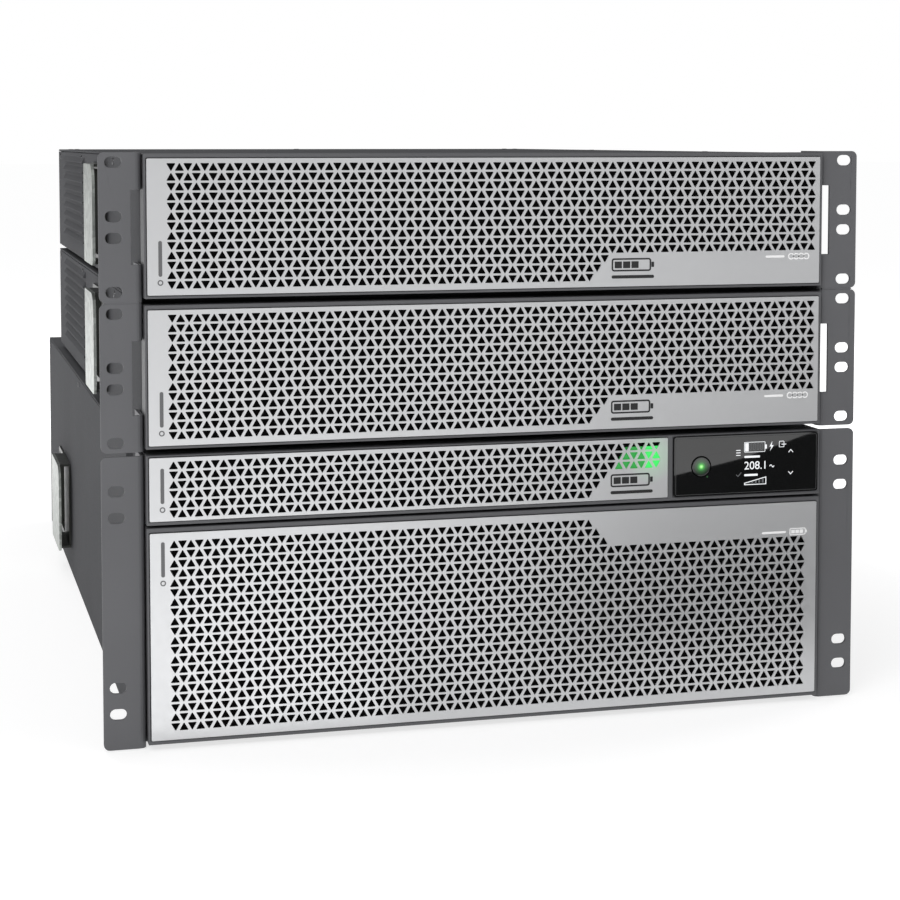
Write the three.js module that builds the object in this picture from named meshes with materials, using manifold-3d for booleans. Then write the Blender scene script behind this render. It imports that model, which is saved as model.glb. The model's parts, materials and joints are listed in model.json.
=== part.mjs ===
// A rack power stack: a 4U uninterruptible power supply with two 2U output transformers above it.
// Millimetres. +X is to the right of a person facing the front panel, +Y runs to the rear, +Z is up.
import * as THREE from "three";
import { mergeVertices } from "three/addons/utils/BufferGeometryUtils.js";
import Module from "manifold-3d";

const wasm = await Module();
wasm.setup();

// ---------------------------------------------------------------- driving dimensions
// Depths count from the front face of the rack ears, heights from the bottom of a unit's rack slot.
const RACK_UNIT = 44.45;
const PANEL_HALF = 241.3; // 482.6 mm rack panel, over the ears
const SLOT_X = 232.55; // rack screw slots, 465.1 mm apart
const SLOT_LENGTH = 10;
const SLOT_WIDTH = 6.6;
const GAP = 0.3; // air between neighbouring pieces
const SHEET = 1.5; // chassis sheet steel
const EAR_SHEET = 2;

const BEZEL_HALF = 215.4; // bezels and the chassis behind them
const BEZEL_FRONT = -4.2; // the dark frame, which the silver plate stands proud of
const BEZEL_REAR = 14;
const PLATE = [-5, -3.5]; // silver plate, front and back
const PLATE_X = [-213.7, 213.4];
const WINDOW_HALF = 208.5; // air opening behind a full-width plate
const CHASSIS_FRONT = 16;

const FRONT_MOST = -6; // face of the power button
const REAR_MOST = 770; // face of the terminal cover

const SUPPLY = {
  base: 0,
  depth: 760,
  half: 219.5,
  neck: 70, // the chassis is narrower up to here, beside the ears
  floor: 0,
  top: 175.5,
  ear: [0.8, 176],
  slots: [22.225, 38.1, 139.7, 155.575],
  upperFrame: [135, 176.6],
  lowerFrame: [3.4, 133.4],
  upperPlate: { x: [-213.7, 111.3], z: [137.4, 175.2] },
  lowerPlate: { x: PLATE_X, z: [6.1, 130.3] },
};

const TRANSFORMER = {
  depth: 667,
  half: BEZEL_HALF,
  floor: 2.2,
  top: 87.2,
  ear: [0.5, 88.4],
  slots: [6.35, 38.1, 50.8, 82.55],
  window: { x: 222.5, z: [22.4, 66.5] }, // cut through the ear's bend
  frame: [2.5, 87.6],
  plate: { x: PLATE_X, z: [4.5, 84.7] },
  louvres: { y: [400, 590], first: 15, pitch: 7.8, count: 9, height: 3.2 },
};

// Side handles: a plate proud of the wall, on a flange round a hand pocket that reaches into the chassis.
const HANDLE_SHEET = 2;
const HANDLE_FLANGE = 1.2;
const HANDLE_RADII = [6, 2, 2, 14];
const HANDLE_LEG_INSET = [16, 4]; // from the plate's front and rear edges to its legs
const SUPPLY_HANDLE = { outer: 230.5, y: [505, 587], z: [20, 91], pocket: [572, 625] };
const TRANSFORMER_HANDLE = { outer: 226.6, y: [208, 275], z: [9.5, 79], pocket: [250, 315] };
const POCKET_DEPTH = 14;
const POCKET_INSET = 4; // of the pocket's floor and roof from the handle's ends

const DISPLAY = { x: [115.5, 213.7], z: [137.4, 175.2], front: -5.6, back: -3.2 };
const BUTTON = { x: 133.6, z: 156.1, radius: 6.1, travel: 1.5 };

const SHELF_Z = 130.4; // underside of the shelf over the battery bay
const BAY_REAR = 445;
const PACK = { x: [3.5, 210.5], y: [22, 420], z: [3, 126] };

const FAN = { half: 40, depth: 25, bore: 38, hub: 15.5, blades: 7, tip: 36.5, sides: 24 };
const SUPPLY_FANS = [
  [-168, 124],
  [-82, 124],
];
const TRANSFORMER_FAN = [-160, 44.3];
const OUTLET_PANEL = { x: [-30, 150], z: [92, 166] };
const BREAKER = { x: 128, z: 129 };
const OUTLET_STRIP = { x: [-90, 168], z: [20, 68] };
const ROCKER = { x: 146, z: 44 };
const NETWORK_CARD = { x: [-30, 90], z: [30, 66], front: 612 };
const TERMINALS = { x: [-205, -60], z: [12, 76] };
const SQUARE_OUTLETS = { first: -65, pitch: 42, count: 5, half: [17, 16], proud: 4 };
const ROUND_OUTLETS = { first: -6, pitch: 44, count: 3, radius: 19.5, proud: 5 };
const FLANGE = 2; // outer face of every rear flange, from the wall

const FINISHES = {
  chassis: { color: 0x57585c, roughness: 0.6, metalness: 0.3 },
  ear: { color: 0x6b6c71, roughness: 0.55, metalness: 0.3 },
  frame: { color: 0x55565a, roughness: 0.6, metalness: 0 },
  silver: { color: 0xc9cacc, roughness: 0.35, metalness: 0.7 },
  zinc: { color: 0xa3a8a3, roughness: 0.35, metalness: 0.9 },
  lens: { color: 0x0c0d0f, roughness: 0.08, metalness: 0 },
  button: { color: 0x16181a, roughness: 0.25, metalness: 0 },
  glow: { color: 0x35d158, roughness: 0.4, metalness: 0 },
  black: { color: 0x1b1c1e, roughness: 0.6, metalness: 0 },
  battery: { color: 0x2b2d31, roughness: 0.55, metalness: 0 },
  board: { color: 0x1f5a36, roughness: 0.6, metalness: 0 },
  aluminium: { color: 0xb8babd, roughness: 0.4, metalness: 0.8 },
  iron: { color: 0x4c4a48, roughness: 0.6, metalness: 0.6 },
  copper: { color: 0xa8622c, roughness: 0.4, metalness: 0.7 },
  capacitor: { color: 0x24333f, roughness: 0.4, metalness: 0.1 },
};

// ---------------------------------------------------------------- solids
// A closed three.js geometry as a solid that can be joined and cut.
function solidOf(geometry) {
  geometry.deleteAttribute("normal");
  geometry.deleteAttribute("uv");
  const merged = mergeVertices(geometry, 1e-4);
  const mesh = new wasm.Mesh({
    numProp: 3,
    vertProperties: merged.attributes.position.array,
    triVerts: new Uint32Array(merged.index.array),
  });
  return new wasm.Manifold(mesh);
}

const join = (first, ...others) => others.reduce((sum, next) => sum.add(next), first);
const cut = (body, ...tools) => tools.reduce((rest, tool) => rest.subtract(tool), body);

// A box between two limits on each axis, in either order.
function block(...limits) {
  const size = limits.map(([a, b]) => Math.abs(b - a));
  const middle = limits.map(([a, b]) => (a + b) / 2);
  return solidOf(new THREE.BoxGeometry(...size).translate(...middle));
}

// An X-Z outline pushed along Y.
function pushY(shape, [from, to], curveSegments = 2) {
  const options = { depth: to - from, bevelEnabled: false, curveSegments };
  const geometry = new THREE.ExtrudeGeometry(shape, options);
  return solidOf(geometry.rotateX(Math.PI / 2).translate(0, to, 0));
}

// An X-Y outline pushed along Z.
function pushZ(shape, [from, to], curveSegments = 2) {
  const options = { depth: to - from, bevelEnabled: false, curveSegments };
  return solidOf(new THREE.ExtrudeGeometry(shape, options).translate(0, 0, from));
}

// A Y-Z outline pushed along X, with its limits in either order.
function pushX(shape, limits, curveSegments = 2) {
  const [from, to] = [Math.min(...limits), Math.max(...limits)];
  const options = { depth: to - from, bevelEnabled: false, curveSegments };
  const geometry = new THREE.ExtrudeGeometry(shape, options);
  const [alongX, alongY, alongZ] = [0, 1, 2].map((axis) => new THREE.Vector3().setComponent(axis, 1));
  geometry.applyMatrix4(new THREE.Matrix4().makeBasis(alongY, alongZ, alongX));
  return solidOf(geometry.translate(from, 0, 0));
}

// A cylinder along Y.
function rodY(radius, [x, z], [from, to], sides = 24) {
  const geometry = new THREE.CylinderGeometry(radius, radius, to - from, sides);
  return solidOf(geometry.translate(x, (from + to) / 2, z));
}

// A cylinder along Z.
function rodZ(radius, [x, y], [from, to], sides = 16) {
  const geometry = new THREE.CylinderGeometry(radius, radius, to - from, sides);
  return solidOf(geometry.rotateX(Math.PI / 2).translate(x, y, (from + to) / 2));
}

// A cylinder along X.
function rodX(radius, [y, z], [from, to], sides = 16) {
  const geometry = new THREE.CylinderGeometry(radius, radius, to - from, sides);
  return solidOf(geometry.rotateZ(Math.PI / 2).translate((from + to) / 2, y, z));
}

function outline(points) {
  return new THREE.Shape(points.map(([a, b]) => new THREE.Vector2(a, b)));
}

// A rectangle whose corners have their own radii: low-low, high-low, high-high, low-high.
function roundedRect([a0, a1], [b0, b1], radii) {
  const [r0, r1, r2, r3] = radii;
  const quarter = Math.PI / 2;
  const shape = new THREE.Shape();
  shape.moveTo(a0 + r0, b0);
  shape.lineTo(a1 - r1, b0);
  if (r1) shape.absarc(a1 - r1, b0 + r1, r1, -quarter, 0);
  shape.lineTo(a1, b1 - r2);
  if (r2) shape.absarc(a1 - r2, b1 - r2, r2, 0, quarter);
  shape.lineTo(a0 + r3, b1);
  if (r3) shape.absarc(a0 + r3, b1 - r3, r3, quarter, 2 * quarter);
  shape.lineTo(a0, b0 + r0);
  if (r0) shape.absarc(a0 + r0, b0 + r0, r0, 2 * quarter, 3 * quarter);
  return shape;
}

const grow = ([low, high], by) => [low - by, high + by];

// Adds one named piece to a group.
function addPiece(group, name, solid, finish) {
  const { vertProperties, triVerts } = solid.getMesh();
  const geometry = new THREE.BufferGeometry();
  geometry.setAttribute("position", new THREE.BufferAttribute(vertProperties, 3));
  geometry.setIndex(new THREE.BufferAttribute(triVerts, 1));
  geometry.computeVertexNormals();
  const mesh = new THREE.Mesh(geometry, new THREE.MeshStandardMaterial(FINISHES[finish]));
  mesh.name = name;
  group.add(mesh);
}

function unitGroup(parent, height) {
  const group = new THREE.Group();
  group.position.z = height;
  parent.add(group);
  return group;
}

// ---------------------------------------------------------------- rack ears
// An L of bent sheet: the slotted panel outside and a flange along the chassis wall.
function rackEar(side, { ear: [bottom, top], slots, window }) {
  const flangeInner = BEZEL_HALF + 2 * GAP;
  const flangeRear = 30;
  const bend = 3.6;
  const cornerRadius = 3.5;
  const steps = [0, 1, 2, 3, 4];
  const arc = (radius) =>
    steps.map((i) => {
      const angle = (i / 4) * (Math.PI / 2);
      return [flangeInner + bend - radius * Math.sin(angle), bend - radius * Math.cos(angle)];
    });
  const profile = [
    [PANEL_HALF, 0],
    ...arc(bend),
    [flangeInner, flangeRear],
    [flangeInner + EAR_SHEET, flangeRear],
    ...arc(bend - EAR_SHEET).reverse(),
    [PANEL_HALF, EAR_SHEET],
  ];
  const bent = pushZ(outline(profile.map(([x, y]) => [side * x, y])), [bottom, top]);
  const radii = side > 0 ? [0, cornerRadius, cornerRadius, 0] : [cornerRadius, 0, 0, cornerRadius];
  const reach = [flangeInner - 1, PANEL_HALF].map((x) => side * x).sort((a, b) => a - b);
  let ear = bent.intersect(pushY(roundedRect(reach, [bottom, top], radii), [-1, flangeRear + 1]));
  for (const z of slots) {
    const across = [side * SLOT_X - SLOT_LENGTH / 2, side * SLOT_X + SLOT_LENGTH / 2];
    const up = [z - SLOT_WIDTH / 2, z + SLOT_WIDTH / 2];
    const round = Array(4).fill(SLOT_WIDTH / 2 - 0.01);
    ear = cut(ear, pushY(roundedRect(across, up, round), [-1, EAR_SHEET + 1]));
  }
  if (!window) return ear;
  const slit = block([side * (flangeInner - 1), side * window.x], [-1, flangeRear + 1], window.z);
  return cut(ear, slit);
}

// ---------------------------------------------------------------- side handles
// A vertical plate on two legs, its flange, and the cup of the hand pocket, in one zinc pressing.
function sideHandle(side, wall, { outer, y, z, pocket }) {
  const inner = outer - HANDLE_SHEET;
  const seat = wall + GAP;
  const rim = seat + HANDLE_FLANGE;
  const high = grow(z, -POCKET_INSET);
  const plate = pushX(roundedRect(y, z, HANDLE_RADII), [side * inner, side * outer]);
  const legDepth = [y[0] + HANDLE_LEG_INSET[0], y[1] - HANDLE_LEG_INSET[1]];
  const legs = [z[0], z[1] - HANDLE_SHEET].map((low) =>
    block([side * seat, side * (inner + 0.5)], legDepth, [low, low + HANDLE_SHEET]),
  );
  const flange = block([side * seat, side * rim], [legDepth[0], pocket[1] + POCKET_INSET], z);
  const cup = block([side * (wall - POCKET_DEPTH), side * rim], grow(pocket, SHEET), grow(high, SHEET));
  const hollow = block([side * (wall - POCKET_DEPTH + SHEET), side * (rim + 1)], pocket, high);
  return join(plate, ...legs, cut(join(flange, cup), hollow));
}

// The hole that a hand pocket goes through, in a wall of the chassis.
function pocketHole(side, wall, { z, pocket }) {
  const clear = SHEET + GAP;
  const through = [side * (wall - SHEET - 1), side * (wall + 1)];
  return block(through, grow(pocket, clear), grow(z, clear - POCKET_INSET));
}

// ---------------------------------------------------------------- bezels
// A moulded frame with a pocket for each face plate and an air window behind it.
function bezelFrame([bottom, top], bays) {
  let frame = block([-BEZEL_HALF, BEZEL_HALF], [BEZEL_FRONT, BEZEL_REAR], [bottom, top]);
  for (const { x, z, windowX, windowZ } of bays) {
    const seat = block(grow(x, GAP), [BEZEL_FRONT - 1, PLATE[1] + GAP], grow(z, GAP));
    const window = block(windowX, [BEZEL_FRONT - 1, BEZEL_REAR + 1], windowZ);
    frame = cut(frame, seat, window);
  }
  return frame;
}

const facePlate = ({ x, z }) => block(x, PLATE, z);

// ---------------------------------------------------------------- fans
// Both pieces are centred on the fan's axis, with the air side at y = 0.
function fanFrame() {
  const { half, depth, bore, hub } = FAN;
  const strut = 3;
  const strutDepth = [depth - 4, depth];
  const casing = cut(
    block([-half, half], [0, depth], [-half, half]),
    rodY(bore, [0, 0], [-1, depth + 1], FAN.sides),
  );
  return join(
    casing,
    rodY(hub + 1, [0, 0], strutDepth),
    block([-bore - 1, bore + 1], strutDepth, [-strut / 2, strut / 2]),
    block([-strut / 2, strut / 2], strutDepth, [-bore - 1, bore + 1]),
  );
}

function fanRotor() {
  const { hub, blades, tip, depth } = FAN;
  const root = hub - 1;
  const chord = 18;
  const thickness = 1.6;
  const pitch = 0.6; // radians
  const middle = (depth - 4) / 2;
  const vanes = Array.from({ length: blades }, (_, i) => {
    const blade = new THREE.BoxGeometry(tip - root, chord, thickness);
    blade.rotateX(pitch).translate((root + tip) / 2, middle, 0);
    return solidOf(blade.rotateY((i / blades) * 2 * Math.PI));
  });
  return join(rodY(hub, [0, 0], [2, depth - 4.5]), ...vanes);
}

function addFan(group, prefix, [x, z], rearWall) {
  const fan = new THREE.Group();
  fan.position.set(x, rearWall - SHEET - GAP - FAN.depth, z);
  group.add(fan);
  addPiece(fan, prefix + "_fan_frame", fanFrame(), "black");
  addPiece(fan, prefix + "_fan_rotor", fanRotor(), "black");
}

const fanHole = ([x, z], rearWall) => rodY(FAN.bore, [x, z], [rearWall - SHEET - 1, rearWall + 1], FAN.sides);

// ---------------------------------------------------------------- 2U transformer
const FEET = { radius: 8, centres: [-180, 180].flatMap((x) => [60, 600].map((y) => [x, y])) };

function transformerTray(footHeight) {
  const { depth, half, floor, top, louvres } = TRANSFORMER;
  const wallTop = top - SHEET - GAP;
  let tray = cut(
    block([-half, half], [CHASSIS_FRONT + GAP, depth], [floor, wallTop]),
    block([SHEET - half, half - SHEET], [0, depth - SHEET], [floor + SHEET, top]),
  );
  for (const side of [-1, 1]) {
    tray = cut(tray, pocketHole(side, half, TRANSFORMER_HANDLE));
    for (let i = 0; i < louvres.count; i++) {
      const z = louvres.first + i * louvres.pitch;
      const span = [z, z + louvres.height];
      tray = cut(tray, block([side * (half - SHEET - 1), side * (half + 1)], louvres.y, span));
    }
  }
  for (const [x, y] of FEET.centres)
    tray = join(tray, rodZ(FEET.radius, [x, y], [floor - footHeight, floor + 0.5]));
  const strip = block(OUTLET_STRIP.x, [depth - 3, depth + 1], OUTLET_STRIP.z);
  return cut(tray, fanHole(TRANSFORMER_FAN, depth), strip);
}

function transformerCover() {
  const { depth, half, top } = TRANSFORMER;
  const lipOuter = half - SHEET - GAP;
  const lipDepth = [CHASSIS_FRONT + 4, depth - 6];
  const sheet = block([-half, half], [CHASSIS_FRONT + GAP, depth], [top - SHEET, top]);
  const lips = [-1, 1].map((side) =>
    block([side * (lipOuter - SHEET), side * lipOuter], lipDepth, [top - 10, top - SHEET / 2]),
  );
  return join(sheet, ...lips);
}

// Two iron windows with the coil round the middle leg, standing on four feet.
const CORE = { half: 80, y: [240, 390], z: [16, 68], leg: 20, yoke: 22, outerLeg: 20, foot: 16 };

function transformerCore() {
  const { half, y, z, leg, yoke, outerLeg, foot } = CORE;
  const footHigh = [TRANSFORMER.floor + SHEET + GAP, z[0] + 1];
  let core = block([-half, half], y, z);
  for (const side of [-1, 1]) {
    const across = [side * leg, side * (half - outerLeg)];
    core = cut(core, block(across, grow(y, -yoke), grow(z, 1)));
    for (const end of y) {
      const inward = end === y[0] ? foot : -foot;
      core = join(core, block([side * half, side * (half - foot)], [end, end + inward], footHigh));
    }
  }
  return core;
}

function transformerWinding() {
  const { half, y, z, leg, yoke, outerLeg } = CORE;
  const outer = half - outerLeg - GAP;
  const length = grow(y, -yoke - GAP);
  const body = roundedRect([-outer, outer], grow(z, 10), [6, 6, 6, 6]);
  return cut(
    pushY(body, length),
    block([-leg - GAP, leg + GAP], grow(length, 1), grow(z, GAP)),
  );
}

// The outlet strip: a flanged housing with receptacle faces and a well for the breaker rocker.
function outletStrip() {
  const { x, z } = OUTLET_STRIP;
  const wall = TRANSFORMER.depth;
  const middle = (z[0] + z[1]) / 2;
  const { first, pitch, count, half, proud } = SQUARE_OUTLETS;
  const flange = block(grow(x, 5), [wall + GAP, wall + FLANGE], grow(z, 5));
  const housing = block(grow(x, -GAP), [wall - 26, wall + 1], grow(z, -GAP));
  const faces = Array.from({ length: count }, (_, i) => {
    const centre = first + i * pitch;
    const across = grow([centre, centre], half[0]);
    const face = roundedRect(across, grow([middle, middle], half[1]), [7, 7, 7, 7]);
    return pushY(face, [wall + 1, wall + proud], 1);
  });
  const well = block([ROCKER.x - 7, ROCKER.x + 7], [wall - 16, wall + 9], [ROCKER.z - 13, ROCKER.z + 13]);
  return cut(join(flange, housing, ...faces), well);
}

// A rocker with two faces at a shallow angle, its top half standing out, turning about X.
function breakerRocker() {
  const tilt = 0.14; // radians
  const fromPivot = [
    [-7, 0],
    [2, -10],
    [9.6, -10],
    [7.8, 0],
    [9.6, 10],
    [2, 10],
  ];
  const pivot = new THREE.Vector2(TRANSFORMER.depth - 5, ROCKER.z);
  const corners = fromPivot.map(([y, z]) =>
    new THREE.Vector2(y, z).rotateAround(new THREE.Vector2(), -tilt).add(pivot),
  );
  return pushX(new THREE.Shape(corners), [ROCKER.x - 6.4, ROCKER.x + 6.4]);
}

function addTransformer(stack, prefix, height, footHeight) {
  const unit = unitGroup(stack, height);
  const { frame, plate } = TRANSFORMER;
  const bay = { ...plate, windowX: [-WINDOW_HALF, WINDOW_HALF], windowZ: grow(plate.z, -3) };
  addPiece(unit, prefix + "_tray", transformerTray(footHeight), "chassis");
  addPiece(unit, prefix + "_top_cover", transformerCover(), "chassis");
  addPiece(unit, prefix + "_bezel_frame", bezelFrame(frame, [bay]), "frame");
  addPiece(unit, prefix + "_grille", facePlate(plate), "silver");
  for (const [side, hand] of [[-1, "_left"], [1, "_right"]]) {
    addPiece(unit, prefix + "_ear" + hand, rackEar(side, TRANSFORMER), "ear");
    const handle = sideHandle(side, TRANSFORMER.half, TRANSFORMER_HANDLE);
    addPiece(unit, prefix + "_handle" + hand, handle, "zinc");
  }
  addPiece(unit, prefix + "_core", transformerCore(), "iron");
  addPiece(unit, prefix + "_winding", transformerWinding(), "copper");
  addFan(unit, prefix, TRANSFORMER_FAN, TRANSFORMER.depth);
  addPiece(unit, prefix + "_outlet_strip", outletStrip(), "black");
  addPiece(unit, prefix + "_breaker_rocker", breakerRocker(), "button");
}

// ---------------------------------------------------------------- 4U supply: casing
function supplyTray() {
  const { depth, half, neck, floor, top } = SUPPLY;
  const wallTop = top - SHEET - GAP;
  const tray = cut(
    join(
      block([-half, half], [neck, depth], [floor, wallTop]),
      block([-BEZEL_HALF, BEZEL_HALF], [CHASSIS_FRONT + GAP, neck + 1], [floor, wallTop]),
    ),
    block([SHEET - half, half - SHEET], [neck + SHEET, depth - SHEET], [floor + SHEET, top]),
    block([SHEET - BEZEL_HALF, BEZEL_HALF - SHEET], [0, neck + 2 * SHEET], [floor + SHEET, top]),
  );
  const wall = [depth - 3, depth + 1];
  return cut(
    tray,
    ...[-1, 1].map((side) => pocketHole(side, half, SUPPLY_HANDLE)),
    ...SUPPLY_FANS.map((centre) => fanHole(centre, depth)),
    block(OUTLET_PANEL.x, wall, OUTLET_PANEL.z),
    block(NETWORK_CARD.x, wall, NETWORK_CARD.z),
    block(grow(TERMINALS.x, -20), wall, grow(TERMINALS.z, -14)),
  );
}

function supplyCover() {
  const { depth, half, neck, top } = SUPPLY;
  const lipOuter = half - SHEET - GAP;
  const sheet = [top - SHEET, top];
  const lips = [-1, 1].map((side) =>
    block([side * (lipOuter - SHEET), side * lipOuter], [neck + 6, depth - 6], [top - 14, top - 1]),
  );
  return join(
    block([-half, half], [neck, depth], sheet),
    block([-BEZEL_HALF, BEZEL_HALF], [CHASSIS_FRONT + GAP, neck + 1], sheet),
    ...lips,
  );
}

// The shelf over the battery bay, with the wall behind it and the rib between the packs.
function batteryBayShelf() {
  const reach = BEZEL_HALF - SHEET - GAP;
  const front = CHASSIS_FRONT + 4;
  const floor = SUPPLY.floor + SHEET + GAP;
  const shelf = block([-reach, reach], [front, BAY_REAR], [SHELF_Z, SHELF_Z + SHEET]);
  const rear = block([-reach, reach], [BAY_REAR - SHEET, BAY_REAR], [floor, SHELF_Z + SHEET / 2]);
  const rib = block([-SHEET, SHEET], [front, PACK.y[1]], [floor, SHELF_Z + SHEET / 2]);
  const cableHoles = [-1, 1].map((side) =>
    block([side * 80, side * 130], [BAY_REAR - 5, BAY_REAR + 5], [50, 80]),
  );
  return cut(join(shelf, rear, rib), ...cableHoles);
}

// ---------------------------------------------------------------- 4U supply: front panel
function supplyBezel() {
  const { upperFrame, upperPlate } = SUPPLY;
  const airWindow = { windowX: [-WINDOW_HALF, 108.6], windowZ: grow(upperPlate.z, -3) };
  const displayWindow = { windowX: grow(DISPLAY.x, -4), windowZ: grow(DISPLAY.z, -3) };
  return bezelFrame(upperFrame, [
    { ...upperPlate, ...airWindow },
    { x: DISPLAY.x, z: DISPLAY.z, ...displayWindow },
  ]);
}

// A clear block behind the corner of the grille, its left end slanted.
function statusLightGuide() {
  const [low, high] = [155.5, 171.6];
  const corners = [
    [74.2, low],
    [108.2, low],
    [108.2, high],
    [88.7, high],
  ];
  return pushY(outline(corners), [PLATE[1] + GAP, 6]);
}

function displayLens() {
  const { x, z, front, back } = DISPLAY;
  const lens = pushY(roundedRect(x, z, [1.5, 1.5, 1.5, 1.5]), [front, back]);
  return cut(lens, rodY(BUTTON.radius + GAP, [BUTTON.x, BUTTON.z], [front - 1, back + 1], 32));
}

function displayModule() {
  const { x, z } = DISPLAY;
  const screen = block([155, 200], [-2.8, 4], [141, 172]);
  const board = block(grow(x, -5), [3.5, 5.1], grow(z, -4));
  const cage = block([120, 205], [5, 11], [144, 169]);
  return join(board, screen, cage);
}

function powerButton() {
  const centre = [BUTTON.x, BUTTON.z];
  const cap = rodY(BUTTON.radius, centre, [FRONT_MOST, -1.5], 32);
  return join(cap, rodY(2.4, centre, [-2, 3.5 - GAP - BUTTON.travel], 12));
}

// ---------------------------------------------------------------- 4U supply: battery packs
const PACK_RECESS = { half: 60, depth: 26, z: [44, 84] };

function batteryPack(side) {
  const { x, y, z } = PACK;
  const middle = (x[0] + x[1]) / 2;
  const shell = pushY(roundedRect(x.map((v) => side * v).sort((a, b) => a - b), z, [3, 3, 3, 3]), y, 2);
  const across = [side * middle - PACK_RECESS.half, side * middle + PACK_RECESS.half];
  const recess = block(across, [y[0] - 1, y[0] + PACK_RECESS.depth], PACK_RECESS.z);
  return cut(shell, recess);
}

// A bar across the recess in the pack's face.
function batteryHandle(side) {
  const { x, y } = PACK;
  const middle = (side * (x[0] + x[1])) / 2;
  const reach = PACK_RECESS.half - GAP;
  const high = (PACK_RECESS.z[0] + PACK_RECESS.z[1]) / 2;
  const bar = block([middle - reach, middle + reach], [y[0] + 1, y[0] + 7], [high - 9, high + 9]);
  const feet = [-1, 1].map((end) =>
    block(
      [middle + end * (reach - 8), middle + end * reach],
      [y[0] + 6, y[0] + PACK_RECESS.depth - GAP],
      [high - 9, high + 9],
    ),
  );
  return join(bar, ...feet);
}

// The connector wall that the packs plug into.
function batteryBackplane() {
  const board = block([-190, 190], [432, 434], [16, 116]);
  const sockets = [-1, 1].map((side) =>
    block([side * 70, side * 150], [PACK.y[1] + GAP, 433], [40, 90]),
  );
  const spacers = [-1, 1].map((side) =>
    block([side * 160, side * 175], [433, BAY_REAR - SHEET - GAP], [30, 100]),
  );
  return join(board, ...sockets, ...spacers);
}

// ---------------------------------------------------------------- 4U supply: power stage
const BOARD_TOP = 9.6;

function powerBoard() {
  const board = block([-190, 190], [460, 725], [BOARD_TOP - 1.6, BOARD_TOP]);
  const posts = [-170, 170].flatMap((x) =>
    [475, 700].map((y) => rodZ(5, [x, y], [SUPPLY.floor + SHEET + GAP, BOARD_TOP - 0.5], 10)),
  );
  const relays = Array.from({ length: 4 }, (_, i) =>
    block([96 + i * 22, 112 + i * 22], [640, 672], [BOARD_TOP - 0.5, BOARD_TOP + 22]),
  );
  return join(board, ...posts, ...relays);
}

function inverterHeatsink() {
  const base = block([-182, -62], [500, 700], [BOARD_TOP + GAP, BOARD_TOP + 8]);
  const fins = Array.from({ length: 13 }, (_, i) =>
    block([-182 + i * 9.8, -179.6 + i * 9.8], [500, 700], [BOARD_TOP + 7, BOARD_TOP + 66]),
  );
  return join(base, ...fins);
}

function capacitorBank() {
  const base = block([-44, 64], [478, 596], [BOARD_TOP + GAP, BOARD_TOP + 3]);
  const cans = [0, 1, 2].flatMap((i) =>
    [0, 1, 2].map((j) => rodZ(16, [-26 + i * 36, 498 + j * 39], [BOARD_TOP + 2, BOARD_TOP + 72], 12)),
  );
  return join(base, ...cans);
}

// A wound ring lying on its base.
function filterInductor() {
  const centre = [136, 540];
  const base = block([94, 178], [498, 582], [BOARD_TOP + GAP, BOARD_TOP + 4]);
  const ring = cut(
    rodZ(40, centre, [BOARD_TOP + 3, BOARD_TOP + 46], 24),
    rodZ(16, centre, [BOARD_TOP + 4, BOARD_TOP + 50], 16),
  );
  return join(base, ring);
}

// ---------------------------------------------------------------- 4U supply: rear panel
function outletPanel() {
  const { x, z } = OUTLET_PANEL;
  const wall = SUPPLY.depth;
  const { first, pitch, count, radius, proud } = ROUND_OUTLETS;
  const flange = block(grow(x, 6), [wall + GAP, wall + FLANGE], grow(z, 4));
  const housing = block(grow(x, -GAP), [wall - 30, wall + 1], grow(z, -GAP));
  const faces = Array.from({ length: count }, (_, i) =>
    rodY(radius, [first + i * pitch, (z[0] + z[1]) / 2], [wall + 1, wall + proud], 28),
  );
  const well = block(
    [BREAKER.x - 6, BREAKER.x + 6],
    [wall - 16, wall + 9],
    [BREAKER.z - 15, BREAKER.z + 15],
  );
  const collar = block(
    [BREAKER.x - 9, BREAKER.x + 9],
    [wall + 1, wall + 3.5],
    [BREAKER.z - 20, BREAKER.z + 20],
  );
  return cut(join(flange, housing, ...faces, collar), well);
}

// The breaker's toggle, tilted up at rest about a pivot inside its well.
function breakerLever() {
  const wall = SUPPLY.depth;
  const pivot = [wall - 6, BREAKER.z];
  const reach = 15;
  const tilt = 0.38; // radians
  const across = [BREAKER.x - 4, BREAKER.x + 4];
  const hub = rodX(5, pivot, across, 16);
  const stick = new THREE.BoxGeometry(across[1] - across[0], reach, 4.4);
  stick.translate(BREAKER.x, reach / 2, 0).rotateX(tilt).translate(0, ...pivot);
  return join(hub, solidOf(stick));
}

// A cover over the hard-wired terminals, on a flange outside the rear wall.
function terminalCover() {
  const { x, z } = TERMINALS;
  const wall = SUPPLY.depth;
  const flange = block(x, [wall + GAP, wall + FLANGE], z);
  const dome = pushY(roundedRect(grow(x, -8), grow(z, -6), [4, 4, 4, 4]), [wall + 1, REAR_MOST]);
  return join(flange, dome);
}

// The plug-in network card: its bracket outside the wall, its board inside.
function networkCard() {
  const { x, z, front } = NETWORK_CARD;
  const wall = SUPPLY.depth;
  const bracket = block(grow(x, 5), [wall + GAP, wall + FLANGE], grow(z, 5));
  const board = block(grow(x, -2), [front, wall + 1], [z[0] + 4, z[0] + 5.6]);
  const jack = block([x[0] + 14, x[0] + 32], [wall - 22, wall + 2.6], [z[0] + 5, z[0] + 20]);
  const processor = block([x[0] + 50, x[0] + 78], [wall - 90, wall - 62], [z[0] + 5, z[0] + 9]);
  return join(bracket, board, jack, processor);
}

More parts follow.
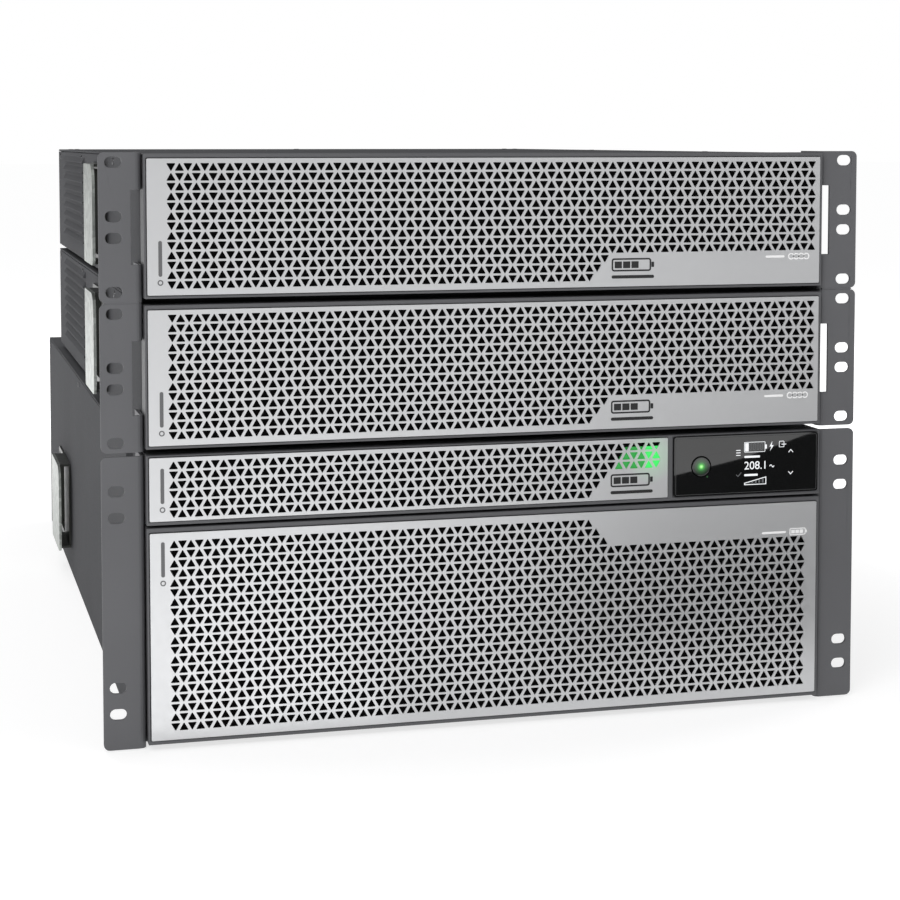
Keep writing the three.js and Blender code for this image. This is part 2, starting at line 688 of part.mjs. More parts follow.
function addSupply(stack) {
  const unit = unitGroup(stack, SUPPLY.base);
  const { lowerFrame, lowerPlate, upperPlate } = SUPPLY;
  const lowerBay = {
    ...lowerPlate,
    windowX: [-WINDOW_HALF, WINDOW_HALF],
    windowZ: grow(lowerPlate.z, -3),
  };
  addPiece(unit, "ups_base_tray", supplyTray(), "chassis");
  addPiece(unit, "ups_top_cover", supplyCover(), "chassis");
  addPiece(unit, "ups_front_bezel", supplyBezel(), "frame");
  addPiece(unit, "ups_upper_grille", facePlate(upperPlate), "silver");
  addPiece(unit, "status_light_guide", statusLightGuide(), "glow");
  addPiece(unit, "battery_bezel_frame", bezelFrame(lowerFrame, [lowerBay]), "frame");
  addPiece(unit, "battery_bezel_grille", facePlate(lowerPlate), "silver");
  addPiece(unit, "display_lens", displayLens(), "lens");
  addPiece(unit, "display_module", displayModule(), "black");
  addPiece(unit, "power_button", powerButton(), "button");
  for (const [side, hand] of [[-1, "_left"], [1, "_right"]]) {
    addPiece(unit, "ups_ear" + hand, rackEar(side, SUPPLY), "ear");
    addPiece(unit, "ups_handle" + hand, sideHandle(side, SUPPLY.half, SUPPLY_HANDLE), "zinc");
    addPiece(unit, "battery_pack" + hand, batteryPack(side), "battery");
    addPiece(unit, "battery_handle" + hand, batteryHandle(side), "black");
  }
  addPiece(unit, "battery_bay_shelf", batteryBayShelf(), "aluminium");
  addPiece(unit, "battery_backplane", batteryBackplane(), "board");
  addPiece(unit, "power_board", powerBoard(), "board");
  addPiece(unit, "inverter_heatsink", inverterHeatsink(), "aluminium");
  addPiece(unit, "capacitor_bank", capacitorBank(), "capacitor");
  addPiece(unit, "filter_inductor", filterInductor(), "copper");
  SUPPLY_FANS.forEach((centre, i) => addFan(unit, "ups_" + (i + 1), centre, SUPPLY.depth));
  addPiece(unit, "outlet_panel", outletPanel(), "black");
  addPiece(unit, "breaker_lever", breakerLever(), "button");
  addPiece(unit, "terminal_cover", terminalCover(), "chassis");
  addPiece(unit, "network_card", networkCard(), "aluminium");
}

// ---------------------------------------------------------------- the stack
// Each transformer stands on pressed feet that reach down to the cover below it.
const lowerBase = 4 * RACK_UNIT;
const upperBase = 6 * RACK_UNIT;
const stack = new THREE.Group();
stack.position.y = -(FRONT_MOST + REAR_MOST) / 2; // the origin is under the middle of the whole stack
addSupply(stack);
const lowerFoot = lowerBase + TRANSFORMER.floor - SUPPLY.top - GAP;
const upperFoot = upperBase - lowerBase + TRANSFORMER.floor - TRANSFORMER.top - GAP;
addTransformer(stack, "lower_transformer", lowerBase, lowerFoot);
addTransformer(stack, "upper_transformer", upperBase, upperFoot);

const part = new THREE.Group();
part.add(stack);
export default part;
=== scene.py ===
"""Looks for a rack power stack: a 4U battery-backed supply under two 2U transformer chassis.

Metres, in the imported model's own frame: +X to the right of a person facing the front panel, +Y to the
rear, +Z up, origin on the floor under the middle of the stack.
"""

import json
import math

import bmesh
import bpy
from mathutils import Matrix, Vector


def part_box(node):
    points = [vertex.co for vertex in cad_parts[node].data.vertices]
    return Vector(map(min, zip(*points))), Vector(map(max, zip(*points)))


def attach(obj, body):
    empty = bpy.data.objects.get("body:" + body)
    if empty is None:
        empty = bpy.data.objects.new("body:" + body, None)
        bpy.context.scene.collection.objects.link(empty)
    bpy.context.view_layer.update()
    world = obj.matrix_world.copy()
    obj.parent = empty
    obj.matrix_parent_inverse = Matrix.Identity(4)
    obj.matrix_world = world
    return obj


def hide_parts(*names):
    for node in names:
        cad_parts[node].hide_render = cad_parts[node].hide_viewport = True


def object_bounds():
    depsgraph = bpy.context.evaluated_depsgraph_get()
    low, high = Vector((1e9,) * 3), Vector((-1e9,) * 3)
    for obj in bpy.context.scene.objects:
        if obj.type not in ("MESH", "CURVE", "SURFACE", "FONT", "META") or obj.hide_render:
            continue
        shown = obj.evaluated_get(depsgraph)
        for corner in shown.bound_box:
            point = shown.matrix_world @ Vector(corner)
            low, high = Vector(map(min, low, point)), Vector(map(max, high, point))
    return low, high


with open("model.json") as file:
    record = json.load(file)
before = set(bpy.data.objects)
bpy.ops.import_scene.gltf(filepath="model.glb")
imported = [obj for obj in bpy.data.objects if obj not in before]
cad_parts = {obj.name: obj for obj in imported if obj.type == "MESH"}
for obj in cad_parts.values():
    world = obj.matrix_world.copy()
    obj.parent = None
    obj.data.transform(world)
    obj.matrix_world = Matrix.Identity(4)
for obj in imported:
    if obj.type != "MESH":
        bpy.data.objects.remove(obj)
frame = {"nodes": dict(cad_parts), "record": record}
cad_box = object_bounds()

MM = 0.001
TRANSFORMERS = ("upper_transformer", "lower_transformer")
FRONT = Vector((0, -1, 0))
REAR = Vector((0, 1, 0))
UP = Vector((0, 0, 1))
CHASSIS_HALF = 215.4 * MM  # from the middle to a chassis's side wall
PANEL = 2 * MM  # thickness of the plates screwed to the rear walls


# ---- node trees
def add_node(tree, kind, links=(), **settings):
    """A shader node with its inputs and properties set by name (underscores stand for spaces).

    links holds pairs of an input and the output that feeds it.
    """
    made = tree.nodes.new("ShaderNode" + kind)
    for key, value in settings.items():
        label = key.replace("_", " ")
        if label in made.inputs:
            made.inputs[label].default_value = value
        else:
            setattr(made, key, value)
    for socket, source in links:
        tree.links.new(source, made.inputs[socket])
    return made


def ramp(tree, factor, stops):
    """A colour ramp over (position, colour) stops."""
    made = tree.nodes.new("ShaderNodeValToRGB")
    elements = made.color_ramp.elements
    while len(elements) < len(stops):
        elements.new(1.0)
    for element, (position, colour) in zip(elements, stops):
        element.position = position
        element.color = (*colour, 1.0) if len(colour) == 3 else colour
    tree.links.new(factor, made.inputs["Fac"])
    return made.outputs["Color"]


def grey(value):
    return (value, value, value)


def scaled(colour, factor):
    return tuple(min(1.0, channel * factor) for channel in colour)


def own_place(tree):
    """Coordinates in the object's own frame."""
    return add_node(tree, "TexCoord").outputs["Object"]


def own_x(tree):
    return add_node(tree, "SeparateXYZ", [("Vector", own_place(tree))]).outputs["X"]


def remap(tree, value, low, high, to_low=0.0, to_high=1.0):
    """A value carried from one range over to another and held within it."""
    limits = {"From_Min": low, "From_Max": high, "To_Min": to_low, "To_Max": to_high}
    return add_node(tree, "MapRange", [("Value", value)], **limits).outputs["Result"]


def away_from(tree, point, reach):
    """0 at a point, rising to 1 at reach from it."""
    away = add_node(tree, "VectorMath", [(0, own_place(tree))], operation="DISTANCE")
    away.inputs[1].default_value = point
    return remap(tree, away.outputs["Value"], 0.0, reach)


def noise(tree, size, detail=3.0, roughness=0.55, stretch=(1, 1, 1)):
    """Noise whose features are about `size` metres across, in the object's own frame."""
    place = add_node(tree, "Mapping", [("Vector", own_place(tree))], Scale=stretch)
    fed = [("Vector", place.outputs["Vector"])]
    made = add_node(tree, "TexNoise", fed, Scale=1 / size, Detail=detail, Roughness=roughness)
    return made.outputs["Fac"]


def bump(tree, height, depth):
    made = add_node(tree, "Bump", [("Height", height)], Strength=1.0, Distance=depth)
    return made.outputs["Normal"]


def shader_of(material):
    """A material's node tree and its shader."""
    tree = material.node_tree
    return tree, tree.nodes["Principled BSDF"]


def emit(material, colour, strength=1.0):
    """Makes a surface glow in the colour of a node's output."""
    tree, shader = shader_of(material)
    tree.links.new(colour, shader.inputs["Emission Color"])
    shader.inputs["Emission Strength"].default_value = strength


def finish(
    name, colour, roughness, metallic=0.0, drift=0.06, drift_size=0.12, spread=0.05, grain=None, **extra
):
    """A surface whose colour and gloss drift slowly, with fine grain as (size, depth) bump."""
    material = bpy.data.materials.new(name)
    material.use_nodes = True
    tree, shader = shader_of(material)
    shader.inputs["Metallic"].default_value = metallic
    for key, value in extra.items():
        shader.inputs[key.replace("_", " ")].default_value = value
    slow = noise(tree, drift_size)
    stops = [(0.3, scaled(colour, 1 - drift)), (0.7, scaled(colour, 1 + drift))]
    tree.links.new(ramp(tree, slow, stops), shader.inputs["Base Color"])
    fine_size = grain[0] * 3 if grain else 0.004
    fine = noise(tree, fine_size, detail=4)
    levels = [(0.3, grey(roughness - spread)), (0.7, grey(roughness + spread))]
    tree.links.new(ramp(tree, fine, levels), shader.inputs["Roughness"])
    if grain:
        size, depth = grain
        tree.links.new(bump(tree, noise(tree, size, detail=2), depth), shader.inputs["Normal"])
    return material


def spangled_zinc(name, plate_x):
    """Zinc plate: crystals a few millimetres across, each with its own tone.

    Parts nearer the chassis than plate_x get painted shade, a near-black and less metallic colour for the
    shadow behind the plate.
    """
    colour, painted_shade = (0.44, 0.465, 0.44), (0.035, 0.037, 0.033)
    material = finish(name, colour, 0.36, grain=(0.0012, 0.00002))
    tree, shader = shader_of(material)
    fed = [("Vector", own_place(tree))]
    cells = add_node(tree, "TexVoronoi", fed, Scale=230, Randomness=1.0)
    tones = [(0.0, scaled(colour, 0.66)), (0.5, colour), (1.0, scaled(colour, 1.3))]
    bright = ramp(tree, cells.outputs["Color"], tones)
    # painted shade on the legs and flange, which lie nearer the wall than plate_x
    outward = add_node(tree, "Math", [(0, own_x(tree))], operation="ABSOLUTE")
    outer = remap(tree, outward.outputs["Value"], plate_x - 0.4 * MM, plate_x)
    mix = add_node(tree, "Mix", [("Factor", outer), (7, bright)], data_type="RGBA")
    mix.inputs[6].default_value = (*painted_shade, 1.0)
    tree.links.new(mix.outputs[2], shader.inputs["Base Color"])
    tree.links.new(remap(tree, outer, 0.0, 1.0, 0.2, 0.9), shader.inputs["Metallic"])
    return material


def brushed(
    name, colour, roughness, stretch, line=0.6 * MM, depth=0.03 * MM, metallic=0.9, drift=0.04, **extra
):
    """Metal with fine lines along the axis whose stretch is small."""
    material = finish(name, colour, roughness, metallic=metallic, drift=drift, **extra)
    tree, shader = shader_of(material)
    lines = noise(tree, line, detail=2, stretch=stretch)
    tree.links.new(bump(tree, lines, depth), shader.inputs["Normal"])
    return material


def silver(name):
    """Silver plate with faint upright brush lines."""
    lines = {"stretch": (1, 1, 0.03), "line": 0.0014, "depth": 0.00002}
    return brushed(name, (0.60, 0.605, 0.615), 0.36, metallic=0.65, drift=0.02, drift_size=0.2, **lines)


def glowing(name, colour, strength=1.0):
    """A lit surface, a little uneven, as a diffuser is."""
    material = finish(name, scaled(colour, 0.3), 0.4)
    tree = material.node_tree
    emit(material, ramp(tree, noise(tree, 0.003), [(0.3, scaled(colour, 0.94)), (0.7, colour)]), strength)
    return material


def silver_painted_glow(name, lamp, reach, glow_colour):
    """Silver plate with the light guide's glow painted on as emission round one point."""
    material = silver(name)
    stops = [(0.0, glow_colour), (0.55, scaled(glow_colour, 0.55)), (1.0, grey(0.0))]
    tree = material.node_tree
    emit(material, ramp(tree, away_from(tree, lamp, reach), stops))
    return material


def lit_from_right(name, edge_x, dim, bright):
    """A light guide that is brightest past edge_x, where its lamp is."""
    material = glowing(name, bright)
    tree = material.node_tree
    along = remap(tree, own_x(tree), edge_x - 1.2 * MM, edge_x + 1.2 * MM)
    emit(material, ramp(tree, along, [(0.0, dim), (1.0, bright)]))
    return material


def lamp_spot(name, centre, radius):
    """Glossy black with a green lamp glowing through its middle."""
    material = finish(name, (0.006, 0.0065, 0.007), 0.06, spread=0.015, Specular_IOR_Level=1.0)
    stops = [
        (0.0, (0.66, 1.0, 0.55)),
        (0.13, (0.24, 0.92, 0.16)),
        (0.26, (0.03, 0.34, 0.04)),
        (0.48, (0.008, 0.085, 0.012)),
        (0.85, (0.0, 0.002, 0.0)),
    ]
    tree = material.node_tree
    emit(material, ramp(tree, away_from(tree, centre, radius), stops))
    return material


BUTTON_RADIUS = 6.1 * MM
guide_low, guide_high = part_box("status_light_guide")
guide_lamp = Vector((guide_high.x - 8 * MM, guide_low.y, (guide_low.z + guide_high.z) / 2))
button_low, button_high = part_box("power_button")
button_centre = (button_low + button_high) / 2
button_centre.y = button_low.y

PLAIN_FINISHES = {  # colour, roughness, size and depth of the grain
    "bezel_plastic": ((0.094, 0.095, 0.101), 0.50, (0.0004, 0.00004)),
    "button_plastic": ((0.012, 0.013, 0.014), 0.30, (0.0006, 0.00002)),
    "black_plastic": ((0.012, 0.012, 0.013), 0.48, (0.0005, 0.00005)),
    "battery_case": ((0.022, 0.024, 0.028), 0.5, (0.0006, 0.00006)),
    "circuit_board": ((0.010, 0.085, 0.035), 0.35, (0.002, 0.00003)),
    "outlet_plastic": ((0.020, 0.020, 0.021), 0.36, (0.0005, 0.00002)),
    # near-black strip in the gap between the chassis: painted shade
    "painted_gap_shade": ((0.012, 0.012, 0.013), 0.85, (0.0012, 0.0002)),
    "capacitor_sleeve": ((0.02, 0.035, 0.055), 0.3, None),
    "lens_rim": ((0.055, 0.056, 0.058), 0.35, None),
    "mark_black": ((0.012, 0.012, 0.013), 0.4, None),
    "mark_grey": ((0.12, 0.12, 0.125), 0.4, None),
    "mark_white": ((0.9, 0.9, 0.9), 0.4, None),
}
BRUSHED_METALS = {  # colour, roughness, direction of the lines
    "heatsink_aluminium": ((0.55, 0.56, 0.57), 0.35, (1, 0.02, 1)),
    "bare_steel": ((0.45, 0.46, 0.46), 0.38, (0.05, 1, 1)),
    "card_metal": ((0.50, 0.51, 0.52), 0.32, (0.05, 1, 1)),
    "copper_winding": ((0.45, 0.17, 0.06), 0.32, (0.03, 1, 1)),
    "screw_steel": ((0.10, 0.10, 0.105), 0.35, (1, 1, 0.2)),
    "bright_steel": ((0.55, 0.56, 0.57), 0.28, (1, 1, 0.2)),
}
LIT_SURFACES = {  # colour, strength
    "display_white": ((0.80, 0.82, 0.84), 1.0),
    "display_dim": ((0.10, 0.105, 0.11), 1.0),
    "pilot_green": ((0.006, 0.055, 0.010), 1.0),
    "lamp_green": ((0.05, 0.8, 0.12), 1.0),
    "lamp_amber": ((0.9, 0.35, 0.02), 0.9),
}
MATERIALS = {
    "chassis_paint": finish(
        "chassis_paint", (0.084, 0.085, 0.090), 0.70, grain=(0.0007, 0.00006), Specular_IOR_Level=0.03
    ),
    "ear_paint": finish(
        "ear_paint", (0.114, 0.115, 0.122), 0.50, grain=(0.0007, 0.00005), Specular_IOR_Level=0.35
    ),
    "silver_plate": silver("silver_plate"),
    "silver_painted_glow": silver_painted_glow("silver_painted_glow", guide_lamp, 17 * MM, (0.0, 0.16, 0.02)),
    # zinc handles, with painted shade on their parts nearer the chassis
    "zinc_plate": spangled_zinc("zinc_plate", 224.0 * MM),
    "zinc_large": spangled_zinc("zinc_large", 228.3 * MM),
    "display_gloss": finish(
        "display_gloss", (0.0075, 0.0078, 0.008), 0.016, spread=0.006, drift=0.1, Specular_IOR_Level=0.8
    ),
    "light_guide": lit_from_right(
        "light_guide", guide_high.x - 11.5 * MM, (0.022, 0.235, 0.042), (0.052, 0.76, 0.135)
    ),
    "core_steel": finish("core_steel", (0.07, 0.065, 0.06), 0.5, metallic=0.7, grain=(0.001, 0.00008)),
    # near-black: painted shade behind the perforated plates, in the sockets and in the card's openings;
    # also the thin dark rings and the black card
    "shade_black": finish(
        "shade_black", (0.0012, 0.0012, 0.0013), 0.9, grain=(0.0009, 0.0002), Specular_IOR_Level=0.05
    ),
    "button_lamp": lamp_spot("button_lamp", button_centre, BUTTON_RADIUS),
}
for label, (shade, gloss, fine_grain) in PLAIN_FINISHES.items():
    MATERIALS[label] = finish(label, shade, gloss, grain=fine_grain)
for label, settings in BRUSHED_METALS.items():
    MATERIALS[label] = brushed(label, *settings)
for label, settings in LIT_SURFACES.items():
    MATERIALS[label] = glowing(label, *settings)


# ---- meshes
def add_to_scene(name, data):
    made = bpy.data.objects.new(name, data)
    bpy.context.scene.collection.objects.link(made)
    return made


def add_piece(name, mesh_data, material, body="root", smooth=False, replaces=()):
    """Turns a bmesh into a piece that rides on a body."""
    bmesh.ops.recalc_face_normals(mesh_data, faces=mesh_data.faces)
    mesh = bpy.data.meshes.new(name)
    mesh_data.to_mesh(mesh)
    mesh_data.free()
    mesh.materials.append(MATERIALS[material])
    piece = add_to_scene(name, mesh)
    if smooth:
        mesh.shade_smooth()
        mesh.set_sharp_from_angle(angle=math.radians(35))
    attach(piece, body)
    if replaces:
        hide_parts(*replaces)


def soften(piece, width):
    """Rounds the edges of a piece by a small width."""
    weld = piece.modifiers.new("weld", "WELD")
    weld.merge_threshold = 0.01 * MM
    rounding = piece.modifiers.new("rounding", "BEVEL")
    rounding.width = width
    rounding.segments = 2
    rounding.limit_method = "ANGLE"
    rounding.angle_limit = math.radians(50)
    rounding.use_clamp_overlap = True


def thicken(bm, depth):
    """Gives a flat open sheet its thickness: a back face and walls round every edge."""
    fronts = list(bm.faces)
    rims = [edge for edge in bm.edges if len(edge.link_faces) == 1]
    behind = {vert: bm.verts.new(vert.co + depth) for vert in list(bm.verts)}
    for face in fronts:
        bm.faces.new([behind[vert] for vert in reversed(face.verts)])
    for edge in rims:
        a, b = edge.verts
        bm.faces.new((a, b, behind[b], behind[a]))


def add_loop(bm, points):
    """A closed loop of edges through the points."""
    verts = [bm.verts.new(point) for point in points]
    return [bm.edges.new((a, b)) for a, b in zip(verts, verts[1:] + verts[:1])]


def add_plate(bm, outer, y, depth, holes=()):
    """A plate across the Y axis from flat loops of (x, z), from y to y + depth."""
    part = bmesh.new()
    edges = []
    for loop in (outer, *holes):
        edges += add_loop(part, [(u, y, v) for u, v in loop])
    bmesh.ops.triangle_fill(part, edges=edges, use_beauty=True)
    thicken(part, REAR * depth)
    bmesh.ops.recalc_face_normals(part, faces=part.faces)
    merge_into(bm, part)


def merge_into(bm, part):
    """Moves one bmesh into another."""
    verts = {vert: bm.verts.new(vert.co) for vert in part.verts}
    for face in part.faces:
        bm.faces.new([verts[vert] for vert in face.verts])
    part.free()


def rounded(u0, u1, v0, v1, radius, steps=4):
    """A rectangle with round corners, as a loop of (u, v)."""
    loop = []
    for cu, cv, start in ((u1, v0, -90), (u1, v1, 0), (u0, v1, 90), (u0, v0, 180)):
        centre_u = cu - math.copysign(radius, cu - (u0 + u1) / 2)
        centre_v = cv - math.copysign(radius, cv - (v0 + v1) / 2)
        for step in range(steps + 1):
            angle = math.radians(start + 90 * step / steps)
            loop.append((centre_u + radius * math.cos(angle), centre_v + radius * math.sin(angle)))
    return loop


def span(x, z, width, height):
    """(x0, x1, z0, z1) of a rectangle from its lower left corner, its size in millimetres."""
    return x, x + width * MM, z, z + height * MM


def rounded_about(u, v, half_u, half_v, radius, steps=4):
    """A rectangle with round corners about a centre, its sizes in millimetres."""
    half_u, half_v = half_u * MM, half_v * MM
    return rounded(u - half_u, u + half_u, v - half_v, v + half_v, radius * MM, steps)


def circle(u, v, radius, sides=32):
    turns = [2 * math.pi * i / sides for i in range(sides)]
    return [(u + radius * math.cos(turn), v + radius * math.sin(turn)) for turn in turns]


PROUD = 0.12 * MM  # of a mark from the face it lies on


def add_decal(bm, outer, y, holes=(), proud=PROUD, thick=None, side=FRONT):
    """A flat mark a hair proud of a surface at y that faces the front or the rear."""
    add_plate(bm, outer, y + side.y * proud, -side.y * (thick or proud - 0.01 * MM), holes)


def add_flat_ring(bm, x, z, radii, y, proud=PROUD, sides=24, side=FRONT):
    outer, hole = (circle(x, z, radius, sides) for radius in radii)
    add_decal(bm, outer, y, [hole], proud, side=side)


def add_lathe(bm, rings, place, sides=24):
    """A turned solid from (radius, height[, flats]) rings, closed at both ends; place is its matrix."""
    rows = []
    for radius, height, *flats in rings:
        row = []
        for i in range(sides):
            turn = 2 * math.pi * i / sides
            reach = radius
            if flats:
                sector = math.pi / flats[0]
                reach = radius * math.cos(sector) / math.cos((turn % (2 * sector)) - sector)
            point = Vector((reach * math.cos(turn), reach * math.sin(turn), height))
            row.append(bm.verts.new(place @ point))
        rows.append(row)
    for low, high in zip(rows, rows[1:]):
        for i in range(sides):
            j = (i + 1) % sides
            bm.faces.new((low[i], low[j], high[j], high[i]))
    bm.faces.new(list(reversed(rows[0])))
    bm.faces.new(rows[-1])


def facing(centre, direction):
    """A matrix whose +Z points along direction, at centre."""
    turn = direction.to_track_quat("Z", "Y").to_matrix().to_4x4()
    return Matrix.Translation(centre) @ turn


def add_screw(bm, centre, direction, radius, height=None):
    """A pan head with a hexagon recess, its seat at centre."""
    tall = height or radius * 0.55
    recess = radius * 0.42
    rings = [
        *((radius, -0.1 * MM), (radius, tall * 0.35), (radius * 0.93, tall * 0.72)),
        *((radius * 0.72, tall * 0.96), (radius * 0.55, tall)),
        *((recess, tall, 6), (recess * 0.96, tall * 0.3, 6)),
    ]
    add_lathe(bm, rings, facing(centre, direction))


# ---- perforated plates
TRIANGLE_PITCH = 4.967 * MM  # from one triangle to the next along a row
ROW_PITCH = 5.767 * MM
TRIANGLE_SIDE = 5.6 * MM
TRIANGLE_ROUND = 0.34 * MM
PLATE_THICKNESS = 0.8 * MM
FIRST_FROM_EDGE = 14.3 * MM  # from the plate's left edge to the first triangle's centre
GUIDE_LIP = 1.3 * MM  # painted shade band over the top of the light guide, where the near-black sheet covers it


def triangle_hole(x, z, flip):
    """The rounded triangle about (x, z), apex up for flip 1: three corners of five points each."""
    circumradius = TRIANGLE_SIDE / math.sqrt(3)
    reach = circumradius - 2 * TRIANGLE_ROUND
    drop = (circumradius / 2 - TRIANGLE_ROUND) / 2
    corners = []
    for heading in (90, 210, 330):
        direction = math.radians(heading)
        corner = []
        for step in range(-2, 3):
            angle = direction + math.radians(30 * step)
            u = reach * math.cos(direction) + TRIANGLE_ROUND * math.cos(angle)
            v = reach * math.sin(direction) + TRIANGLE_ROUND * math.sin(angle)
            corner.append((x + u, z + flip * (v - drop)))
        corners.append(corner)
    return corners


def add_cell(bm, shared, x, z, flip, y):
    """One triangle hole with the trapezium of plate round it, sharing corners with its neighbours."""
    slope = ROW_PITCH / math.tan(math.radians(60)) / 2
    wide, narrow = TRIANGLE_PITCH / 2 + slope, TRIANGLE_PITCH / 2 - slope

    def corner(u, v):
        key = (round(u / MM, 2), round(v / MM, 2))
        if key not in shared:
            shared[key] = bm.verts.new((u, y, v))
        return shared[key]

    base, tip = z - flip * ROW_PITCH / 2, z + flip * ROW_PITCH / 2
    base_left, base_right = corner(x - wide, base), corner(x + wide, base)
    tip_left, tip_right = corner(x - narrow, tip), corner(x + narrow, tip)
    apex, left, right = (
        [bm.verts.new((u, y, v)) for u, v in points] for points in triangle_hole(x, z, flip)
    )
    bm.faces.new((tip_right, tip_left, apex[2]))
    bm.faces.new((base_right, tip_right, apex[2], apex[1], apex[0], right[4], right[3], right[2]))
    bm.faces.new((tip_left, base_left, left[2], left[1], left[0], apex[4], apex[3], apex[2]))
    bm.faces.new((base_left, base_right, right[2], right[1], right[0], left[4], left[3], left[2]))


def perforated_plate(name, cad_node, rows, top_margin, body="root", material="silver_plate"):
    """The face plate over a CAD node's box, with rows of (number of triangles, first one points up)."""
    low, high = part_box(cad_node)
    bm = bmesh.new()
    shared = {}
    for row, (count, up) in enumerate(rows):
        for i in range(count):
            flip = 1 if (i % 2 == 0) == up else -1
            x = low.x + FIRST_FROM_EDGE + i * TRIANGLE_PITCH
            z = high.z - top_margin - row * ROW_PITCH
            add_cell(bm, shared, x, z, flip, low.y)
    cell_corners = set(shared.values())
    rim = [
        edge
        for edge in bm.edges
        if len(edge.link_faces) == 1 and edge.verts[0] in cell_corners and edge.verts[1] in cell_corners
    ]
    border = [Vector((u, low.y, v)) for u, v in rounded(low.x, high.x, low.z, high.z, 0.8 * MM)]
    bmesh.ops.triangle_fill(bm, edges=rim + add_loop(bm, border), use_beauty=True)
    thicken(bm, REAR * PLATE_THICKNESS)
    add_piece(name, bm, material, body, replaces=[cad_node])


def alternating(counts, first_up):
    """Rows whose first triangle alternates between pointing up and down."""
    return [(count, (i % 2 == 0) == first_up) for i, count in enumerate(counts)]


TRANSFORMER_ROWS = alternating([83] * 10 + [55, 54, 53], first_up=False)
UPPER_ROWS = alternating([62] * 3 + [55, 54, 53], first_up=True)
BATTERY_ROWS = alternating([53, 54, 55] + [82] * 17, first_up=True)


def shade_black(name, cad_node, body="root", outline=None):
    """A black dust screen right behind a perforated plate, its near-black colour painted shade for the
    dark inside of the chassis.
    """
    bm = bmesh.new()
    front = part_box(cad_node)[0].y + PLATE_THICKNESS + 0.05 * MM
    shape = outline or rounded(*inside_of(cad_node), 1 * MM)
    add_plate(bm, shape, front, 0.5 * MM)
    add_piece(name, bm, "shade_black", body)


def inside_of(cad_node, margin=0.6 * MM):
    """(x0, x1, z0, z1) of a node's box, less a margin."""
    low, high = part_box(cad_node)
    return low.x + margin, high.x - margin, low.z + margin, high.z - margin


def ups_shade_black_outline():
    """The outline of the upper near-black shade sheet, notched in its lower right corner for the light
    guide.
    """
    left, right, bottom, top = inside_of("ups_upper_grille")
    gap = 0.4 * MM
    notch = guide_low.z - gap
    lip = guide_high.z - GUIDE_LIP
    slant = (lip - guide_low.z) * 0.62
    return [
        (left, bottom),
        (right, bottom),
        (right, notch),
        (guide_low.x - gap, notch),
        (guide_low.x + slant, lip),
        (right, lip),
        (right, top),
        (left, top),
    ]


def build_fronts():
    for unit in TRANSFORMERS:
        plate = unit + "_grille"
        perforated_plate(unit + "_perforated_plate", plate, TRANSFORMER_ROWS, 5.0 * MM)
        shade_black(unit + "_shade_black", plate)
    plate = "ups_upper_grille"
    perforated_plate("ups_perforated_plate", plate, UPPER_ROWS, 4.7 * MM, material="silver_painted_glow")
    shade_black("ups_shade_black", plate, outline=ups_shade_black_outline())
    plate, body = "battery_bezel_grille", "battery_bezel"
    perforated_plate("battery_perforated_plate", plate, BATTERY_ROWS, 6.95 * MM, body)
    shade_black("battery_shade_black", plate, body)


# ---- CAD nodes
EDGE_WIDTHS = {  # in millimetres
    "chassis_paint": 0.6,
    "ear_paint": 0.45,
    "bezel_plastic": 0.5,
    "zinc_plate": 0.4,
    "display_gloss": 0.3,
    "battery_case": 1.0,
    "black_plastic": 0.4,
    "button_plastic": 0.4,
    "card_metal": 0.3,
}

SPECIAL_FINISH = {
    "power_button": "button_lamp",
    "ups_handle_left": "zinc_large",
    "ups_handle_right": "zinc_large",
}


def finish_cad_nodes():
    """Gives every carried-over CAD node its material, and small rounded edges where its slot is listed in
    EDGE_WIDTHS.
    """
    slots = {row["node"]: row["material_slot"] for row in frame["record"]["subparts"]}
    for name, node in frame["nodes"].items():
        slot = slots[name]
        node.data.materials.clear()
        node.data.materials.append(MATERIALS[SPECIAL_FINISH.get(name, slot)])
        if slot in EDGE_WIDTHS:
            soften(node, EDGE_WIDTHS[slot] * MM)


# ---- generic marks
LINE_THICKNESS = PROUD * 0.9


def add_bar(bm, x0, x1, z0, z1, y, radius=None):
    """A flat bar on a front-facing surface at y."""
    rounding = radius if radius is not None else min(x1 - x0, z1 - z0) * 0.45
    add_decal(bm, rounded(x0, x1, z0, z1, rounding), y, thick=LINE_THICKNESS)


def add_outline(bm, x0, x1, z0, z1, line, y):
    """A rounded rectangle drawn as a line."""
    outer = rounded(x0, x1, z0, z1, line * 1.6)
    inner = rounded(x0 + line, x1 - line, z0 + line, z1 - line, line * 0.7)
    add_decal(bm, outer, y, [inner], thick=LINE_THICKNESS)


def add_stroke(bm, start, end, line, y):
    """A straight line of some width between two (x, z) points."""
    a, b = Vector(start), Vector(end)
    along = (b - a).normalized() * line / 2
    across = Vector((-along.y, along.x))
    loop = [a - along + across, a - along - across, b + along - across, b + along + across]
    add_decal(bm, loop, y, thick=LINE_THICKNESS)


def add_battery_symbol(bm, x0, x1, z0, z1, line, y, bars, filled):
    """A battery outline with a terminal and some bars inside."""
    tip = (x1 - x0) * 0.07
    add_outline(bm, x0, x1 - tip, z0, z1, line, y)
    middle, half = (z0 + z1) / 2, (z1 - z0) * 0.2
    add_bar(bm, x1 - tip + line * 0.2, x1, middle - half, middle + half, y, radius=line * 0.3)
    inside = x1 - tip - x0 - 4 * line
    for i in range(filled):
        left = x0 + 2 * line + inside * i / bars
        width = inside / bars - line * 0.8
        add_bar(bm, left, left + width, z0 + 2 * line, z1 - 2 * line, y, radius=line * 0.2)


def add_coil_symbol(bm, x0, z, radius, line, y, turns=4):
    """A row of linked rings, the generic sign for a transformer."""
    for i in range(turns):
        centre = x0 + radius + i * 2 * (radius - line / 2)
        add_flat_ring(bm, centre, z, (radius, radius - line), y)


